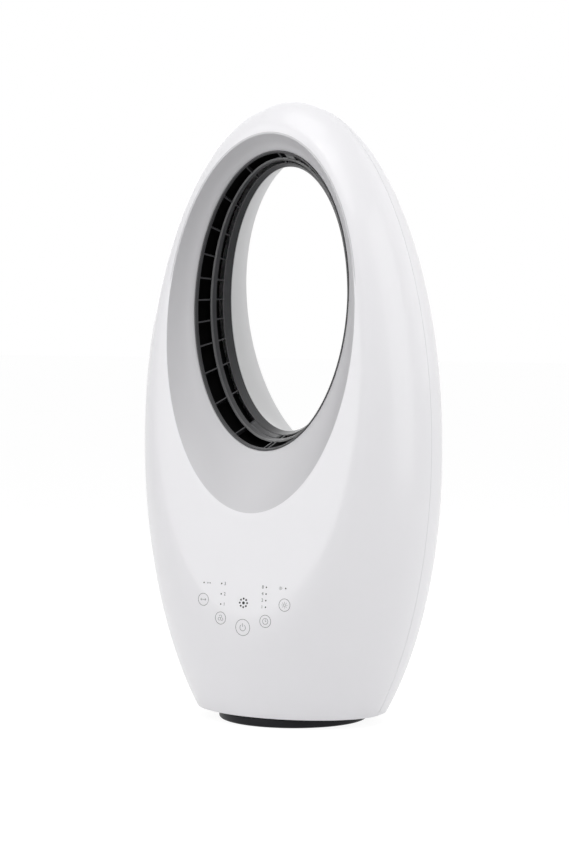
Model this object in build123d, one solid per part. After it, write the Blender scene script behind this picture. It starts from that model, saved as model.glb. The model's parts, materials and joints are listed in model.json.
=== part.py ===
from build123d import *
import math
import os

# Bladeless fan: an egg-shaped housing with a tall oval air ring, standing on a
# round swivelling foot.  Millimetres.  +Z is up, the front looks along -Y, and
# the origin lies on the floor on the swivel axis.  The housing is drawn around
# its own parting plane, which lies SWIVEL_Y ahead of that axis.

# ---- housing ---------------------------------------------------------------
HEIGHT = 600.0
BODY_Z = 268.0
BODY_HALF_WIDTH = 153.0
BODY_HALF_DEPTH = 106.0
SWIVEL_Y = 8.0
WALL = 2.6
FIT_GAP = 0.3
SEAM_GAP = 0.4
SKIRT_GAP = 1.0
FACE_Y = 69.5
FACE_Z = 300.0
FACE_LEAN = 5.6
CREASE_R = 14.0

# ---- air ring: half width, half height, centre height, depth, lean ---------
BEZEL_RIM_HALF = (102.5, 179.7)
BEZEL_RIM_Z = 385.5
BEZEL_EDGE = (83.7, 142.0, 406.6, -40.6, 5.0)
THROAT = (67.5, 127.4, 408.0, 1.8, 0.0)
REAR_RIM = (92.0, 152.0, 400.0, 78.5, -9.9)
REAR_OVERRUN = 1.16
BEZEL_WALL = 2.2
BEZEL_LAND = 1.2
BEZEL_DISH = 3.0
RING_WALL = 1.8
RING_SPANS = ((0.0, 0.08), (0.49, 0.66), (0.76, 1.0))
RIB_COUNT = 24
RIB_THICKNESS = 1.4
RIB_DEPTH = 7.0
RIB_REACH = (0.03, 0.9)
RIB_BITE = 0.25
FLANGE_BACK = 6.0
FLANGE_INNER = 0.4
FLANGE_WIDTH = 12.0
FLANGE_THICKNESS = 1.6
STRIP_START = 7.4
STRIP_WIDTH = 4.0
STRIP_THICKNESS = 1.0
STRIP_GAP = 0.1

# ---- foot ------------------------------------------------------------------
FOOT_R = 72.5
FOOT_TOP = 9.0
FOOT_WALL = 2.4
FOOT_EDGE_R = 4.5
FOOT_TOP_EDGE_R = 0.8
PAD_HEIGHT = 1.2
PAD_R = 7.0
PAD_CIRCLE_R = 56.0
PAD_COUNT = 4
COVER_THICKNESS = 1.4
BALLAST_R = 62.0
BALLAST_THICKNESS = 3.6
PEG_R = 4.0
PEG_CIRCLE_R = 38.0
PEG_COUNT = 3
POST_R = 14.0
POST_BORE_R = 9.0
GLIDE_INNER_R = 47.0
GLIDE_OUTER_R = 54.0
GLIDE_THICKNESS = 1.6
GLIDE_GAP = 0.4
RUNNING_GAP = 0.06
PRESS_GAP = 0.05

# ---- swivel drive ----------------------------------------------------------
SWING_LIMIT = 40.0
STOP_R = 3.0
STOP_CIRCLE_R = 42.0
STOP_HEIGHT = 1.5
PLATE_THICKNESS = 2.6
SLEEVE_WALL = 3.0
SLEEVE_HEIGHT = 8.0
WASHER_R = 20.0
WASHER_THICKNESS = 1.5
WASHER_GAP = 0.1
GEAR_WIDTH = 6.0
GEAR_MODULE = 2.0
SUN_TEETH = 36
PINION_TEETH = 10
SUN_ADDENDUM = 0.85
PINION_ADDENDUM = 0.95
DEDENDUM = 1.25
PRESSURE_ANGLE = 20.0
GEAR_BACKLASH = 0.35
GEAR_HOLE_R = 4.5
GEAR_HOLE_COUNT = 6
CLAMP_WALL = 3.0
CLAMP_HEIGHT = 1.4
PINION_DROP = 0.5
PINION_SHAFT_R = 2.5
PINION_SHAFT_GRIP = 4.0
SWING_MOTOR_R = 21.0
SWING_MOTOR_LIFT = 3.0
SWING_MOTOR_HEIGHT = 17.0
SWING_EAR_Y = 27.0
SWING_EAR_R = 5.0
SWING_EAR_WIDTH = 12.0
SWING_EAR_THICKNESS = 1.6
MOTOR_POST_R = 3.4

# ---- blower ----------------------------------------------------------------
BLOWER_R = 60.0
TIP_GAP = 1.2
BLOWER_WALL = 2.2
INLET_R = 46.0
INLET_Z = 64.0
BELL_HEIGHT = 10.0
BELL_WIDTH = 9.0
BELL_R = 8.0
IMPELLER_LIFT = 12.0
IMPELLER_HEIGHT = 36.0
HUB_LOW_R = 15.0
HUB_HIGH_R = 40.0
HUB_WALL = 2.0
BLADE_COUNT = 11
BLADE_THICKNESS = 1.6
VANE_COUNT = 9
VANE_THICKNESS = 1.8
VANE_HEIGHT = 34.0
CUP_R = 40.0
CUP_WALL = 2.0
CUP_GAP = 2.0
CUP_HEIGHT = 58.0
CAP_RISE = 10.0
CAP_FLAT_R = 6.0
BLOWER_FLANGE_LIFT = 9.0
BLOWER_FLANGE_WIDTH = 12.8
BLOWER_FLANGE_THICKNESS = 3.0
GASKET_HEIGHT = 4.0
PARTITION_THICKNESS = 2.4
COLLAR_WALL = 2.0
COLLAR_HEIGHT = 7.0
SHAFT_R = 3.0
SHAFT_GAP = 0.03
SHAFT_BELOW = 7.0
BLOWER_MOTOR_R = 26.0
BLOWER_MOTOR_HEIGHT = 38.0
NUT_R = 6.0
NUT_HEIGHT = 5.0

# ---- main board ------------------------------------------------------------
BOARD_THICKNESS = 1.6
BOARD_X = -61.0
BOARD_LIFT = 13.0
BOARD_SIZE = (44.0, 48.0)
BOARD_POST_INSET = 4.0
BOARD_POST_R = 3.2

# ---- inlet, gland, screws --------------------------------------------------
INLET_CENTRE_Z = 118.0
INLET_HALF_WIDTH = 88.0
INLET_HALF_HEIGHT = 54.0
SLOT_LENGTH = 50.0
SLOT_HEIGHT = 4.0
SLOT_PITCH_X = 55.0
SLOT_PITCH_Z = 9.0
FILTER_THICKNESS = 3.0
FILTER_CORNER_R = 12.0
GLAND_Z = 40.0
GLAND_BORE_R = 3.3
GLAND_R = 5.0
GLAND_FLANGE_R = 8.0
GLAND_FLANGE_THICKNESS = 2.4
GLAND_LENGTH = 7.0
GLAND_SEAT_DEPTH = 4.05
SCREW_R = 1.5
SCREW_FIT = 0.2
SCREW_BITE = 12.0
SCREW_HEAD_R = 2.9
SCREW_HEAD_HEIGHT = 2.15
SCREW_SEAT_Y = 12.0
BOSS_R = 4.6
BOSS_BITE = 0.8
BOSS_INSET = 18.0
BOSS_HEIGHTS = (120.0, 268.0, 470.0)
TOP_BOSS_DROP = 24.0
PILOT_DEPTH = 16.0

# ---- touch panel -----------------------------------------------------------
PANEL_Z = 112.0
PANEL_ROOM = 7.0
PANEL_SIZE = (102.0, 40.0)
PANEL_KEYS = ((-44.5, 119.5), (-24.6, 103.2), (0.0, 96.0), (24.6, 103.2), (44.5, 119.5))
KEY_SPRING_R = 4.0
KEY_SPRING_WIRE = 0.8
LAMP_ROW_X = (-27.5, 27.5)
LAMP_ROW_Z = (117.0, 124.0, 131.0)
LAMP_SIZE = 2.4

# ---- sizes that follow -----------------------------------------------------
BODY_HALF_HEIGHT = HEIGHT - BODY_Z
SKIRT_Z = FOOT_TOP + SKIRT_GAP
PLATE_Z = FOOT_TOP + GLIDE_THICKNESS + GLIDE_GAP
SLEEVE_TOP = PLATE_Z + SLEEVE_HEIGHT
GEAR_Z = SLEEVE_TOP + WASHER_GAP + WASHER_THICKNESS
POST_TOP = GEAR_Z + GEAR_WIDTH + CLAMP_HEIGHT
SWING_MOTOR_Z = POST_TOP + SWING_MOTOR_LIFT
BOARD_Z = PLATE_Z + BOARD_LIFT
IMPELLER_Z = INLET_Z + IMPELLER_LIFT
CUP_Z = IMPELLER_Z + IMPELLER_HEIGHT + CUP_GAP
CUP_TOP = CUP_Z + CUP_HEIGHT
FLANGE_Z = CUP_TOP + BLOWER_FLANGE_LIFT
GASKET_Z = FLANGE_Z + BLOWER_FLANGE_THICKNESS
DUCT_R = BLOWER_R + TIP_GAP
FLANGE_R = DUCT_R + BLOWER_FLANGE_WIDTH
TOUCH_DEPTH = WALL + PANEL_ROOM
SUN_R = GEAR_MODULE * SUN_TEETH / 2
PINION_R = GEAR_MODULE * PINION_TEETH / 2
PINION_X = SUN_R + PINION_R
BIG = 4 * HEIGHT
HOUSING = Pos(0, -SWIVEL_Y, 0)


def face_y(z):
    """Depth of the flat front face at height z."""
    return -FACE_Y + math.tan(math.radians(FACE_LEAN)) * (z - FACE_Z)


def body_x(z):
    """Half width of the housing at height z."""
    return BODY_HALF_WIDTH * math.sqrt(1 - ((z - BODY_Z) / BODY_HALF_HEIGHT) ** 2)


def body_y(x, z):
    """Half depth of the housing at x and z, before the front is cut flat."""
    return BODY_HALF_DEPTH * math.sqrt(max(0.0, (body_x(z) ** 2 - x**2) / BODY_HALF_WIDTH**2))


FACE = Plane(
    origin=(0, -FACE_Y, FACE_Z),
    x_dir=(1, 0, 0),
    z_dir=(0, -math.cos(math.radians(FACE_LEAN)), math.sin(math.radians(FACE_LEAN))),
)
BEZEL_RIM = (*BEZEL_RIM_HALF, BEZEL_RIM_Z, face_y(BEZEL_RIM_Z), FACE_LEAN)
GLAND_SEAT_Y = body_y(0, GLAND_Z) - GLAND_SEAT_DEPTH
SHELL_BOSSES = [(side * (body_x(z) - BOSS_INSET), z) for z in BOSS_HEIGHTS for side in (-1, 1)]
SHELL_BOSSES.append((0, HEIGHT - TOP_BOSS_DROP))


def save(shape, node, place=Pos(0, 0, 0)):
    """Move a node's solids to their place and write them."""
    os.makedirs("parts", exist_ok=True)
    solids = [place * solid for solid in shape.solids()]
    whole = solids[0] if len(solids) == 1 else Compound(children=solids)
    export_step(whole, f"parts/{node}.step")


def tube(outer_r, inner_r, height):
    """Upright ring that stands on z = 0."""
    base = (Align.CENTER, Align.CENTER, Align.MIN)
    return Cylinder(outer_r, height, align=base) - Cylinder(inner_r, height, align=base)


def rod(radius, height):
    return Cylinder(radius, height, align=(Align.CENTER, Align.CENTER, Align.MIN))


def block(x, y, height):
    return Box(x, y, height, align=(Align.CENTER, Align.CENTER, Align.MIN))


def slab(low, high):
    """Everything between two heights."""
    return Pos(0, 0, low) * block(BIG, BIG, high - low)


def along_y(x, z, y_from, y_to, radius):
    """Round bar parallel to Y."""
    length = y_to - y_from
    return Pos(x, (y_from + y_to) / 2, z) * Rot(90, 0, 0) * Cylinder(radius, length)


def turned(points):
    """Solid of revolution about Z from (radius, height) points."""
    profile = make_face(Polyline([(r, 0, z) for r, z in points], close=True))
    return revolve(profile, Axis.Z)


# ---- egg-shaped body -------------------------------------------------------
def ellipsoid(inset, seam_side):
    """The body's outer form drawn in by inset; its seam runs down the +Y or -Y side."""
    arc = ThreePointArc((0, 0, -1), (0, seam_side, 0), (0, 0, 1))
    ball = revolve(make_face([arc, Line((0, 0, 1), (0, 0, -1))]), Axis.Z)
    size = (BODY_HALF_WIDTH - inset, BODY_HALF_DEPTH - inset, BODY_HALF_HEIGHT - inset)
    return Pos(0, 0, BODY_Z) * scale(ball, by=size)


def front_form(inset):
    """Ellipsoid with the flat, back-leaning face and its soft crease."""
    behind_face = FACE * Pos(0, 0, -BIG / 2 - inset) * Box(BIG, BIG, BIG)
    form = ellipsoid(inset, 1) & behind_face
    flat = form.faces().filter_by(GeomType.PLANE)[0]
    return fillet(flat.edges(), CREASE_R - inset)


def half_space(side, start=0.0):
    """Everything on one side of the parting plane."""
    return Pos(0, start + side * BIG / 2, 0) * Box(BIG, BIG, BIG)


def above(z):
    return slab(z, BIG)


# ---- oval sections of the air ring -----------------------------------------
def oval(section, grow=0.0, back=0.0):
    """Flat oval face of one ring section, grown sideways and moved back along Y."""
    half_x, half_z, centre_z, depth, lean = section
    tilt = math.radians(lean)
    plane = Plane(
        origin=(0, depth + back, centre_z),
        x_dir=(1, 0, 0),
        z_dir=(0, -math.cos(tilt), math.sin(tilt)),
    )
    return (plane * Ellipse(half_x + grow, (half_z + grow) / math.cos(tilt))).face()


def between(first, last, share):
    """Ring section part of the way from one section to another."""
    return tuple(a + (b - a) * share for a, b in zip(first, last))


def tunnel(sections, grow=0.0, back=0.0):
    """Solid plug through a row of oval sections."""
    return loft([oval(section, grow, back) for section in sections])


def oval_ring(section, inner, outer, back, thickness):
    """Flat oval washer behind a section."""
    half_x, half_z, centre_z, depth, lean = section
    tilt = math.radians(lean)
    plane = Plane(
        origin=(0, depth + back, centre_z),
        x_dir=(1, 0, 0),
        z_dir=(0, -math.cos(tilt), math.sin(tilt)),
    )
    wide = Ellipse(half_x + outer, half_z / math.cos(tilt) + outer)
    hole = Ellipse(half_x + inner, half_z / math.cos(tilt) + inner)
    return extrude(plane * (wide - hole), -thickness)


def bezel_sections():
    rim = (BEZEL_RIM[0] - BEZEL_LAND, BEZEL_RIM[1] - BEZEL_LAND) + BEZEL_RIM[2:]
    middle = list(between(rim, BEZEL_EDGE, 0.5))
    middle[3] += BEZEL_DISH
    return [rim, tuple(middle), BEZEL_EDGE]


def front_bezel():
    """Dished grey funnel that leads from the front face to the outlet."""
    inner = bezel_sections()
    outer = [oval(BEZEL_RIM, -FIT_GAP / 2)]
    outer += [oval(section, BEZEL_WALL, BEZEL_WALL / 2) for section in inner[1:]]
    body = loft(outer)
    body -= tunnel(inner)
    trim = oval(BEZEL_EDGE, FLANGE_WIDTH)
    body -= extrude(trim, -BIG / 8)
    return body


def ring_section(share):
    return between(BEZEL_EDGE, THROAT, share)


def outlet_grille():
    """Black outlet: front lip, middle ring and throat sleeve joined by radial ribs."""
    grille = None
    for start, end in RING_SPANS:
        ends = [ring_section(start), ring_section(end)]
        ring = tunnel(ends, RING_WALL, FIT_GAP) - tunnel(ends, 0.0, FIT_GAP)
        grille = ring if grille is None else grille + ring
    grille += oval_ring(BEZEL_EDGE, FLANGE_INNER, FLANGE_WIDTH, FLANGE_BACK, FLANGE_THICKNESS)
    reach = [ring_section(share) for share in RIB_REACH]
    band = tunnel(reach, RIB_DEPTH, FIT_GAP) - tunnel(reach, RIB_BITE, FIT_GAP)
    plate = Pos(BIG / 2, 0, 0) * Box(BIG, BIG, RIB_THICKNESS)
    ribs = [
        Pos(0, 0, THROAT[2]) * Rot(0, 360 / RIB_COUNT * n, 0) * plate
        for n in range(RIB_COUNT)
    ]
    return grille + [rib & band for rib in ribs]


def ends_inside(section):
    """True where the top or the side of a section still lies within the housing."""
    half_x, half_z, centre_z, depth, lean = section
    top_y = depth + math.tan(math.radians(lean)) * half_z
    return top_y < body_y(0, centre_z + half_z) or depth < body_y(half_x, centre_z)


def rear_sections():
    """Sections of the rear funnel, drawn on past the rim until they clear the housing."""
    share = REAR_OVERRUN
    while ends_inside(between(THROAT, REAR_RIM, share)):
        share += REAR_OVERRUN / 20
    return [THROAT, between(THROAT, REAR_RIM, 0.5), between(THROAT, REAR_RIM, share)]


def rear_bezel():
    """Grey rear funnel, trimmed to the curve of the rear shell."""
    sections = rear_sections()
    shift = 2 * FIT_GAP
    funnel = tunnel(sections, BEZEL_WALL, shift) - tunnel(sections, 0.0, shift)
    return funnel & ellipsoid(0.0, -1)


def light_strip():
    """Narrow board of small lamps in front of the outlet's flange."""
    back = FLANGE_BACK - STRIP_THICKNESS - STRIP_GAP
    return oval_ring(BEZEL_EDGE, STRIP_START, STRIP_START + STRIP_WIDTH, back, STRIP_THICKNESS)


# ---- shells ----------------------------------------------------------------
def boss(x, z, side):
    """Screw boss from a shell's wall to the parting plane."""
    reach = BODY_HALF_DEPTH
    near = SEAM_GAP / 2
    y_from, y_to = (near, reach) if side > 0 else (-reach, -near)
    return along_y(x, z, y_from, y_to, BOSS_R)


def front_shell():
    outer = front_form(0.0)
    shell = (outer - front_form(WALL)) & half_space(-1) & above(SKIRT_Z)
    shell -= extrude(oval(BEZEL_RIM), CREASE_R, both=True)
    fill = front_form(WALL - BOSS_BITE)
    for x, z in SHELL_BOSSES:
        pilot = along_y(x, z, -PILOT_DEPTH, 1, SCREW_R - SCREW_FIT)
        shell += (boss(x, z, -1) & fill) - pilot
    return shell


def inlet_slots():
    """Rows of slots inside an oval patch low on the back."""
    slot = Rectangle(SLOT_LENGTH, SLOT_HEIGHT)
    slot = chamfer(slot.vertices(), SLOT_HEIGHT / 3)
    slots = []
    rows = int(INLET_HALF_HEIGHT // SLOT_PITCH_Z)
    for row in range(-rows, rows + 1):
        reach = INLET_HALF_WIDTH * math.sqrt(1 - (row * SLOT_PITCH_Z / INLET_HALF_HEIGHT) ** 2)
        count = max(1, int(2 * reach // SLOT_PITCH_X))
        for n in range(count):
            x = (n - (count - 1) / 2) * SLOT_PITCH_X
            place = Pos(x, BODY_HALF_DEPTH, INLET_CENTRE_Z + row * SLOT_PITCH_Z) * Rot(90, 0, 0)
            slots.append(place * extrude(slot, BODY_HALF_DEPTH / 2, both=True))
    return slots


def rear_shell():
    outer = ellipsoid(0.0, -1)
    shell = (outer - ellipsoid(WALL, -1)) & half_space(1) & above(SKIRT_Z)
    hole = rear_sections()
    shell -= tunnel(hole, BEZEL_WALL + FIT_GAP / 2, 2 * FIT_GAP)
    shell -= extrude(oval(hole[-1], BEZEL_WALL + FIT_GAP / 2), -BODY_HALF_DEPTH)
    fill = ellipsoid(WALL - BOSS_BITE, -1)
    for x, z in SHELL_BOSSES:
        shell += boss(x, z, 1) & fill
    seat_back = GLAND_SEAT_Y - GLAND_SEAT_DEPTH
    seat = along_y(0, GLAND_Z, seat_back, BODY_HALF_DEPTH, GLAND_FLANGE_R + GLAND_SEAT_DEPTH)
    shell += seat & fill
    shell -= along_y(0, GLAND_Z, GLAND_SEAT_Y, BIG, GLAND_FLANGE_R + 1)
    shell -= along_y(0, GLAND_Z, 0, BIG, GLAND_R + FIT_GAP / 2)
    for x, z in SHELL_BOSSES:
        shell -= along_y(x, z, SCREW_SEAT_Y, BIG, SCREW_HEAD_R + FIT_GAP)
        shell -= along_y(x, z, -1, BIG, SCREW_R + SCREW_FIT)
    shell -= inlet_slots()
    return shell


def shell_screws():
    """Screws that join the two shells, driven from the back."""
    screws = []
    seat = SCREW_SEAT_Y + PRESS_GAP
    for x, z in SHELL_BOSSES:
        shank = along_y(x, z, -SCREW_BITE, seat + 0.1, SCREW_R - SCREW_FIT - PRESS_GAP)
        head = along_y(x, z, seat, seat + SCREW_HEAD_HEIGHT, SCREW_HEAD_R)
        screws.append(shank + head)
    return Compound(children=screws)


def inlet_filter():
    """Foam sheet that lies against the inside of the inlet slots."""
    outer = ellipsoid(WALL + FIT_GAP, -1)
    inner = ellipsoid(WALL + FIT_GAP + FILTER_THICKNESS, -1)
    sheet = RectangleRounded(2 * INLET_HALF_WIDTH, 2 * INLET_HALF_HEIGHT, FILTER_CORNER_R)
    patch = Pos(0, BODY_HALF_DEPTH, INLET_CENTRE_Z) * Rot(90, 0, 0)
    patch *= extrude(sheet, BODY_HALF_DEPTH, both=True)
    return (outer - inner) & patch


def level_plate(z, thickness, clearance):
    """Flat plate that fills the housing's inside at one height."""
    return front_form(WALL + clearance) & slab(z, z + thickness)


# ---- foot ------------------------------------------------------------------
def polar_points(radius, count, start=0.0):
    angles = [math.radians(start + 360 / count * n) for n in range(count)]
    return [(radius * math.cos(a), radius * math.sin(a)) for a in angles]


def stop_points():
    """Places of the two swing stops on the foot, clear of the pin at each limit by the fit gap."""
    turn = SWING_LIMIT + math.degrees((2 * STOP_R + FIT_GAP) / STOP_CIRCLE_R)
    angles = [math.radians(180 + side * turn) for side in (-1, 1)]
    return [(STOP_CIRCLE_R * math.cos(a), STOP_CIRCLE_R * math.sin(a)) for a in angles]


def base_foot():
    """Round black foot with a rounded lower edge, the hollow swivel post and two swing stops."""
    low = PAD_HEIGHT
    disc = Pos(0, 0, low) * rod(FOOT_R, FOOT_TOP - low)
    disc = fillet(disc.edges().group_by(Axis.Z)[0], FOOT_EDGE_R)
    disc = fillet(disc.edges().group_by(Axis.Z)[-1], FOOT_TOP_EDGE_R)
    inside_r = FOOT_R - FOOT_EDGE_R - FOOT_WALL
    disc -= Pos(0, 0, low - 1) * rod(inside_r, FOOT_TOP - FOOT_WALL - low + 1)
    disc += Pos(0, 0, low) * rod(POST_R, POST_TOP - low)
    disc -= rod(POST_BORE_R, POST_TOP + 1)
    peg_z = low + COVER_THICKNESS
    for x, y in polar_points(PEG_CIRCLE_R, PEG_COUNT, 60):
        disc += Pos(x, y, peg_z) * rod(PEG_R, FOOT_TOP - FOOT_WALL / 2 - peg_z)
    for x, y in stop_points():
        disc += Pos(x, y, FOOT_TOP - FOOT_WALL / 2) * rod(STOP_R, FOOT_WALL / 2 + STOP_HEIGHT)
    return disc


def base_cover():
    """Bottom plate that closes the foot."""
    cover_r = FOOT_R - FOOT_EDGE_R - FOOT_WALL - FIT_GAP / 2
    return Pos(0, 0, PAD_HEIGHT) * tube(cover_r, POST_R + FIT_GAP / 2, COVER_THICKNESS)


def ballast_plate():
    """Steel weight in the foot."""
    z = PAD_HEIGHT + COVER_THICKNESS
    plate = Pos(0, 0, z) * tube(BALLAST_R, POST_R + 1, BALLAST_THICKNESS)
    for x, y in polar_points(PEG_CIRCLE_R, PEG_COUNT, 60):
        plate -= Pos(x, y, z - 1) * rod(PEG_R + FIT_GAP, BALLAST_THICKNESS + 2)
    return plate


def foot_pads():
    points = polar_points(PAD_CIRCLE_R, PAD_COUNT, 45)
    return Compound(children=[Pos(x, y, 0) * rod(PAD_R, PAD_HEIGHT) for x, y in points])


def glide_ring():
    return Pos(0, 0, FOOT_TOP) * tube(GLIDE_OUTER_R, GLIDE_INNER_R, GLIDE_THICKNESS)


# ---- swivel drive ----------------------------------------------------------
def gear_outline(teeth, addendum):
    """Involute gear face with each flank drawn as an arc through three involute points."""
    pitch_r = GEAR_MODULE * teeth / 2
    tip_r = pitch_r + addendum * GEAR_MODULE
    root_r = pitch_r - DEDENDUM * GEAR_MODULE
    base_r = pitch_r * math.cos(math.radians(PRESSURE_ANGLE))
    low_r = max(root_r, base_r)

    def roll(r):
        t = math.sqrt(max(0.0, (r / base_r) ** 2 - 1))
        return t - math.atan(t)

    half = math.pi / (2 * teeth) - GEAR_BACKLASH / (4 * pitch_r) + roll(pitch_r)
    edges = []
    step = 2 * math.pi / teeth

    def at(r, angle):
        return (r * math.cos(angle), r * math.sin(angle))

    for n in range(teeth):
        mid = n * step
        radii = (low_r, (low_r + tip_r) / 2, tip_r)
        rise = [at(r, mid - half + roll(r)) for r in radii]
        fall = [at(r, mid + half - roll(r)) for r in reversed(radii)]
        root_from = at(root_r, mid - half)
        root_to = at(root_r, mid + half)
        if low_r > root_r:
            edges.append(Line(root_from, rise[0]))
        edges.append(ThreePointArc(*rise))
        edges.append(Line(rise[-1], fall[0]))
        edges.append(ThreePointArc(*fall))
        if low_r > root_r:
            edges.append(Line(fall[-1], root_to))
        next_root = at(root_r if low_r > root_r else low_r, mid + step - half)
        edges.append(Line(root_to if low_r > root_r else fall[-1], next_root))
    return make_face(edges)


def sun_gear():
    """Fixed gear on the swivel post; it also holds the housing down."""
    gear = extrude(gear_outline(SUN_TEETH, SUN_ADDENDUM), GEAR_WIDTH)
    gear -= rod(POST_R + PRESS_GAP, GEAR_WIDTH)
    gear = Pos(0, 0, GEAR_Z) * gear
    for x, y in polar_points((POST_R + SUN_R) / 2, GEAR_HOLE_COUNT):
        gear -= Pos(x, y, GEAR_Z - 1) * rod(GEAR_HOLE_R, GEAR_WIDTH + 2)
    return gear


def swing_pinion():
    """Pinion and its shaft, in mesh with the sun gear at rest."""
    turn = 180 + (180 / PINION_TEETH if PINION_TEETH % 2 == 0 else 0)
    gear = extrude(gear_outline(PINION_TEETH, PINION_ADDENDUM), GEAR_WIDTH + 2 * PINION_DROP)
    shaft = rod(PINION_SHAFT_R, SWING_MOTOR_Z + PINION_SHAFT_GRIP - GEAR_Z)
    return Pos(PINION_X, 0, GEAR_Z - PINION_DROP) * (Rot(0, 0, turn) * gear + shaft)


def swing_motor():
    """Geared drive motor on two ears."""
    can = rod(SWING_MOTOR_R, SWING_MOTOR_HEIGHT)
    can = fillet(can.edges().group_by(Axis.Z)[-1], 2.0)
    ears = block(SWING_EAR_WIDTH, 2 * (SWING_EAR_Y + SWING_EAR_R), SWING_EAR_THICKNESS)
    ears = fillet(ears.edges().filter_by(Axis.Z), SWING_EAR_R)
    motor = can + ears
    motor -= rod(PINION_SHAFT_R + RUNNING_GAP, PINION_SHAFT_GRIP + 2)
    for y in (-SWING_EAR_Y, SWING_EAR_Y):
        motor -= Pos(0, y, -1) * rod(SCREW_R + FIT_GAP, SWING_EAR_THICKNESS + 2)
    return Pos(PINION_X, 0, SWING_MOTOR_Z) * motor


def bottom_plate():
    """Turntable plate with the bearing sleeve, the stop pin and the posts for motor and board."""
    plate = HOUSING * level_plate(PLATE_Z, PLATE_THICKNESS, FIT_GAP)
    sleeve_r = POST_R + RUNNING_GAP
    plate += Pos(0, 0, PLATE_Z) * rod(sleeve_r + SLEEVE_WALL, SLEEVE_TOP - PLATE_Z)
    plate -= Pos(0, 0, PLATE_Z - 1) * rod(sleeve_r, SLEEVE_TOP)
    pin_z = FOOT_TOP + STOP_HEIGHT / 3
    plate += Pos(-STOP_CIRCLE_R, 0, pin_z) * rod(STOP_R, PLATE_Z + 1 - pin_z)
    for y in (-SWING_EAR_Y, SWING_EAR_Y):
        plate += plate_post(PINION_X, y, MOTOR_POST_R, SWING_MOTOR_Z)
    for x, y in board_corners():
        plate += plate_post(x, y, BOARD_POST_R, BOARD_Z)
    return plate


def plate_post(x, y, radius, top):
    """Hollow screw post on the turntable plate."""
    return Pos(x, y, PLATE_Z + 1) * tube(radius, SCREW_R - FIT_GAP, top - PLATE_Z - 1)


def board_corners():
    reach_x = BOARD_SIZE[0] / 2 - BOARD_POST_INSET
    reach_y = BOARD_SIZE[1] / 2 - BOARD_POST_INSET
    return [(BOARD_X + sx * reach_x, sy * reach_y) for sx in (-1, 1) for sy in (-1, 1)]


def control_board():
    board = Pos(BOARD_X, 0, BOARD_Z) * block(*BOARD_SIZE, BOARD_THICKNESS)
    for x, y in board_corners():
        board -= Pos(x, y, BOARD_Z - 1) * rod(SCREW_R + SCREW_FIT, BOARD_THICKNESS + 2)
    return board


def on_board(x, y, shape):
    return Pos(BOARD_X + x, y, BOARD_Z + BOARD_THICKNESS) * shape


def capacitor():
    can = rod(7.5, 24)
    can = fillet(can.edges().group_by(Axis.Z)[-1], 1.0)
    return on_board(-12, -14, can)


def transformer():
    core = block(24, 20, 16)
    winding = Pos(0, 0, 2) * block(16, 26, 12)
    return on_board(-4, 8, core + fillet(winding.edges().filter_by(Axis.X), 3.0))


def relay():
    box = block(12, 16, 11)
    return on_board(12, -13, fillet(box.edges().group_by(Axis.Z)[-1], 0.6))


def terminal_block():
    body = block(8, 20, 9)
    body -= [Pos(4, y, 3) * block(5, 4, 4) for y in (-6, 0, 6)]
    return on_board(18, 6, body)


# ---- blower ----------------------------------------------------------------
def duct_radius(z):
    """Inner radius of the blower housing: a cone over the wheel, then a straight duct."""
    share = (z - IMPELLER_Z) / IMPELLER_HEIGHT
    share = min(1.0, max(0.0, share))
    return INLET_R + (BLOWER_R + TIP_GAP - INLET_R) * share


def blower_housing():
    """Bell-mouthed duct around the wheel, with a flange on top."""
    top = IMPELLER_Z + IMPELLER_HEIGHT
    wall = BLOWER_WALL
    mouth = INLET_Z + BELL_HEIGHT
    duct = turned([
        (INLET_R, IMPELLER_Z), (DUCT_R, top), (DUCT_R, GASKET_Z), (FLANGE_R, GASKET_Z),
        (FLANGE_R, FLANGE_Z), (DUCT_R + wall, FLANGE_Z), (DUCT_R + wall, top - 1),
        (INLET_R + wall, IMPELLER_Z - 1), (INLET_R + wall, mouth - 1), (INLET_R, mouth - 1),
    ])
    lip = Pos(0, 0, INLET_Z) * tube(INLET_R + BELL_WIDTH, INLET_R, BELL_HEIGHT)
    inner = lip.edges().filter_by(GeomType.CIRCLE).group_by(Axis.Z)[0].sort_by(SortBy.RADIUS)[0]
    return duct + fillet(inner, BELL_R)


def diffuser():
    """Motor cup held in the duct by curved guide vanes."""
    cup = turned([
        (SHAFT_R + 3, CUP_Z), (CUP_R, CUP_Z), (CUP_R, CUP_TOP), (CUP_R - CUP_WALL, CUP_TOP),
        (CUP_R - CUP_WALL, CUP_Z + CUP_WALL), (SHAFT_R + 3, CUP_Z + CUP_WALL),
    ])
    duct_r = DUCT_R - FIT_GAP / 2
    low = CUP_Z + 6
    high = low + VANE_HEIGHT
    room = Pos(0, 0, low) * tube(duct_r, CUP_R - CUP_WALL / 2, high - low)
    path = (-13, low), (-3, (low + high) / 2), (0, high)
    band = curved_blade(*path, VANE_THICKNESS, CUP_R - 4, duct_r + 4)
    vanes = [Rot(0, 0, 360 / VANE_COUNT * n) * band & room for n in range(VANE_COUNT)]
    return cup + vanes


def curved_blade(low, mid, high, thickness, inner_r, outer_r):
    """Curved plate across the radius at angle 0, from three (tangent, z) points."""
    points = [Vector(0, y, z) for y, z in (low, mid, high)]
    shifted = [Vector(0, y + thickness, z) for y, z in (high, mid, low)]
    outline = make_face([
        ThreePointArc(*points), Line(points[-1], shifted[0]),
        ThreePointArc(*shifted), Line(shifted[-1], points[0]),
    ])
    return Pos(inner_r, 0, 0) * extrude(outline, outer_r - inner_r, dir=(1, 0, 0))


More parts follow.
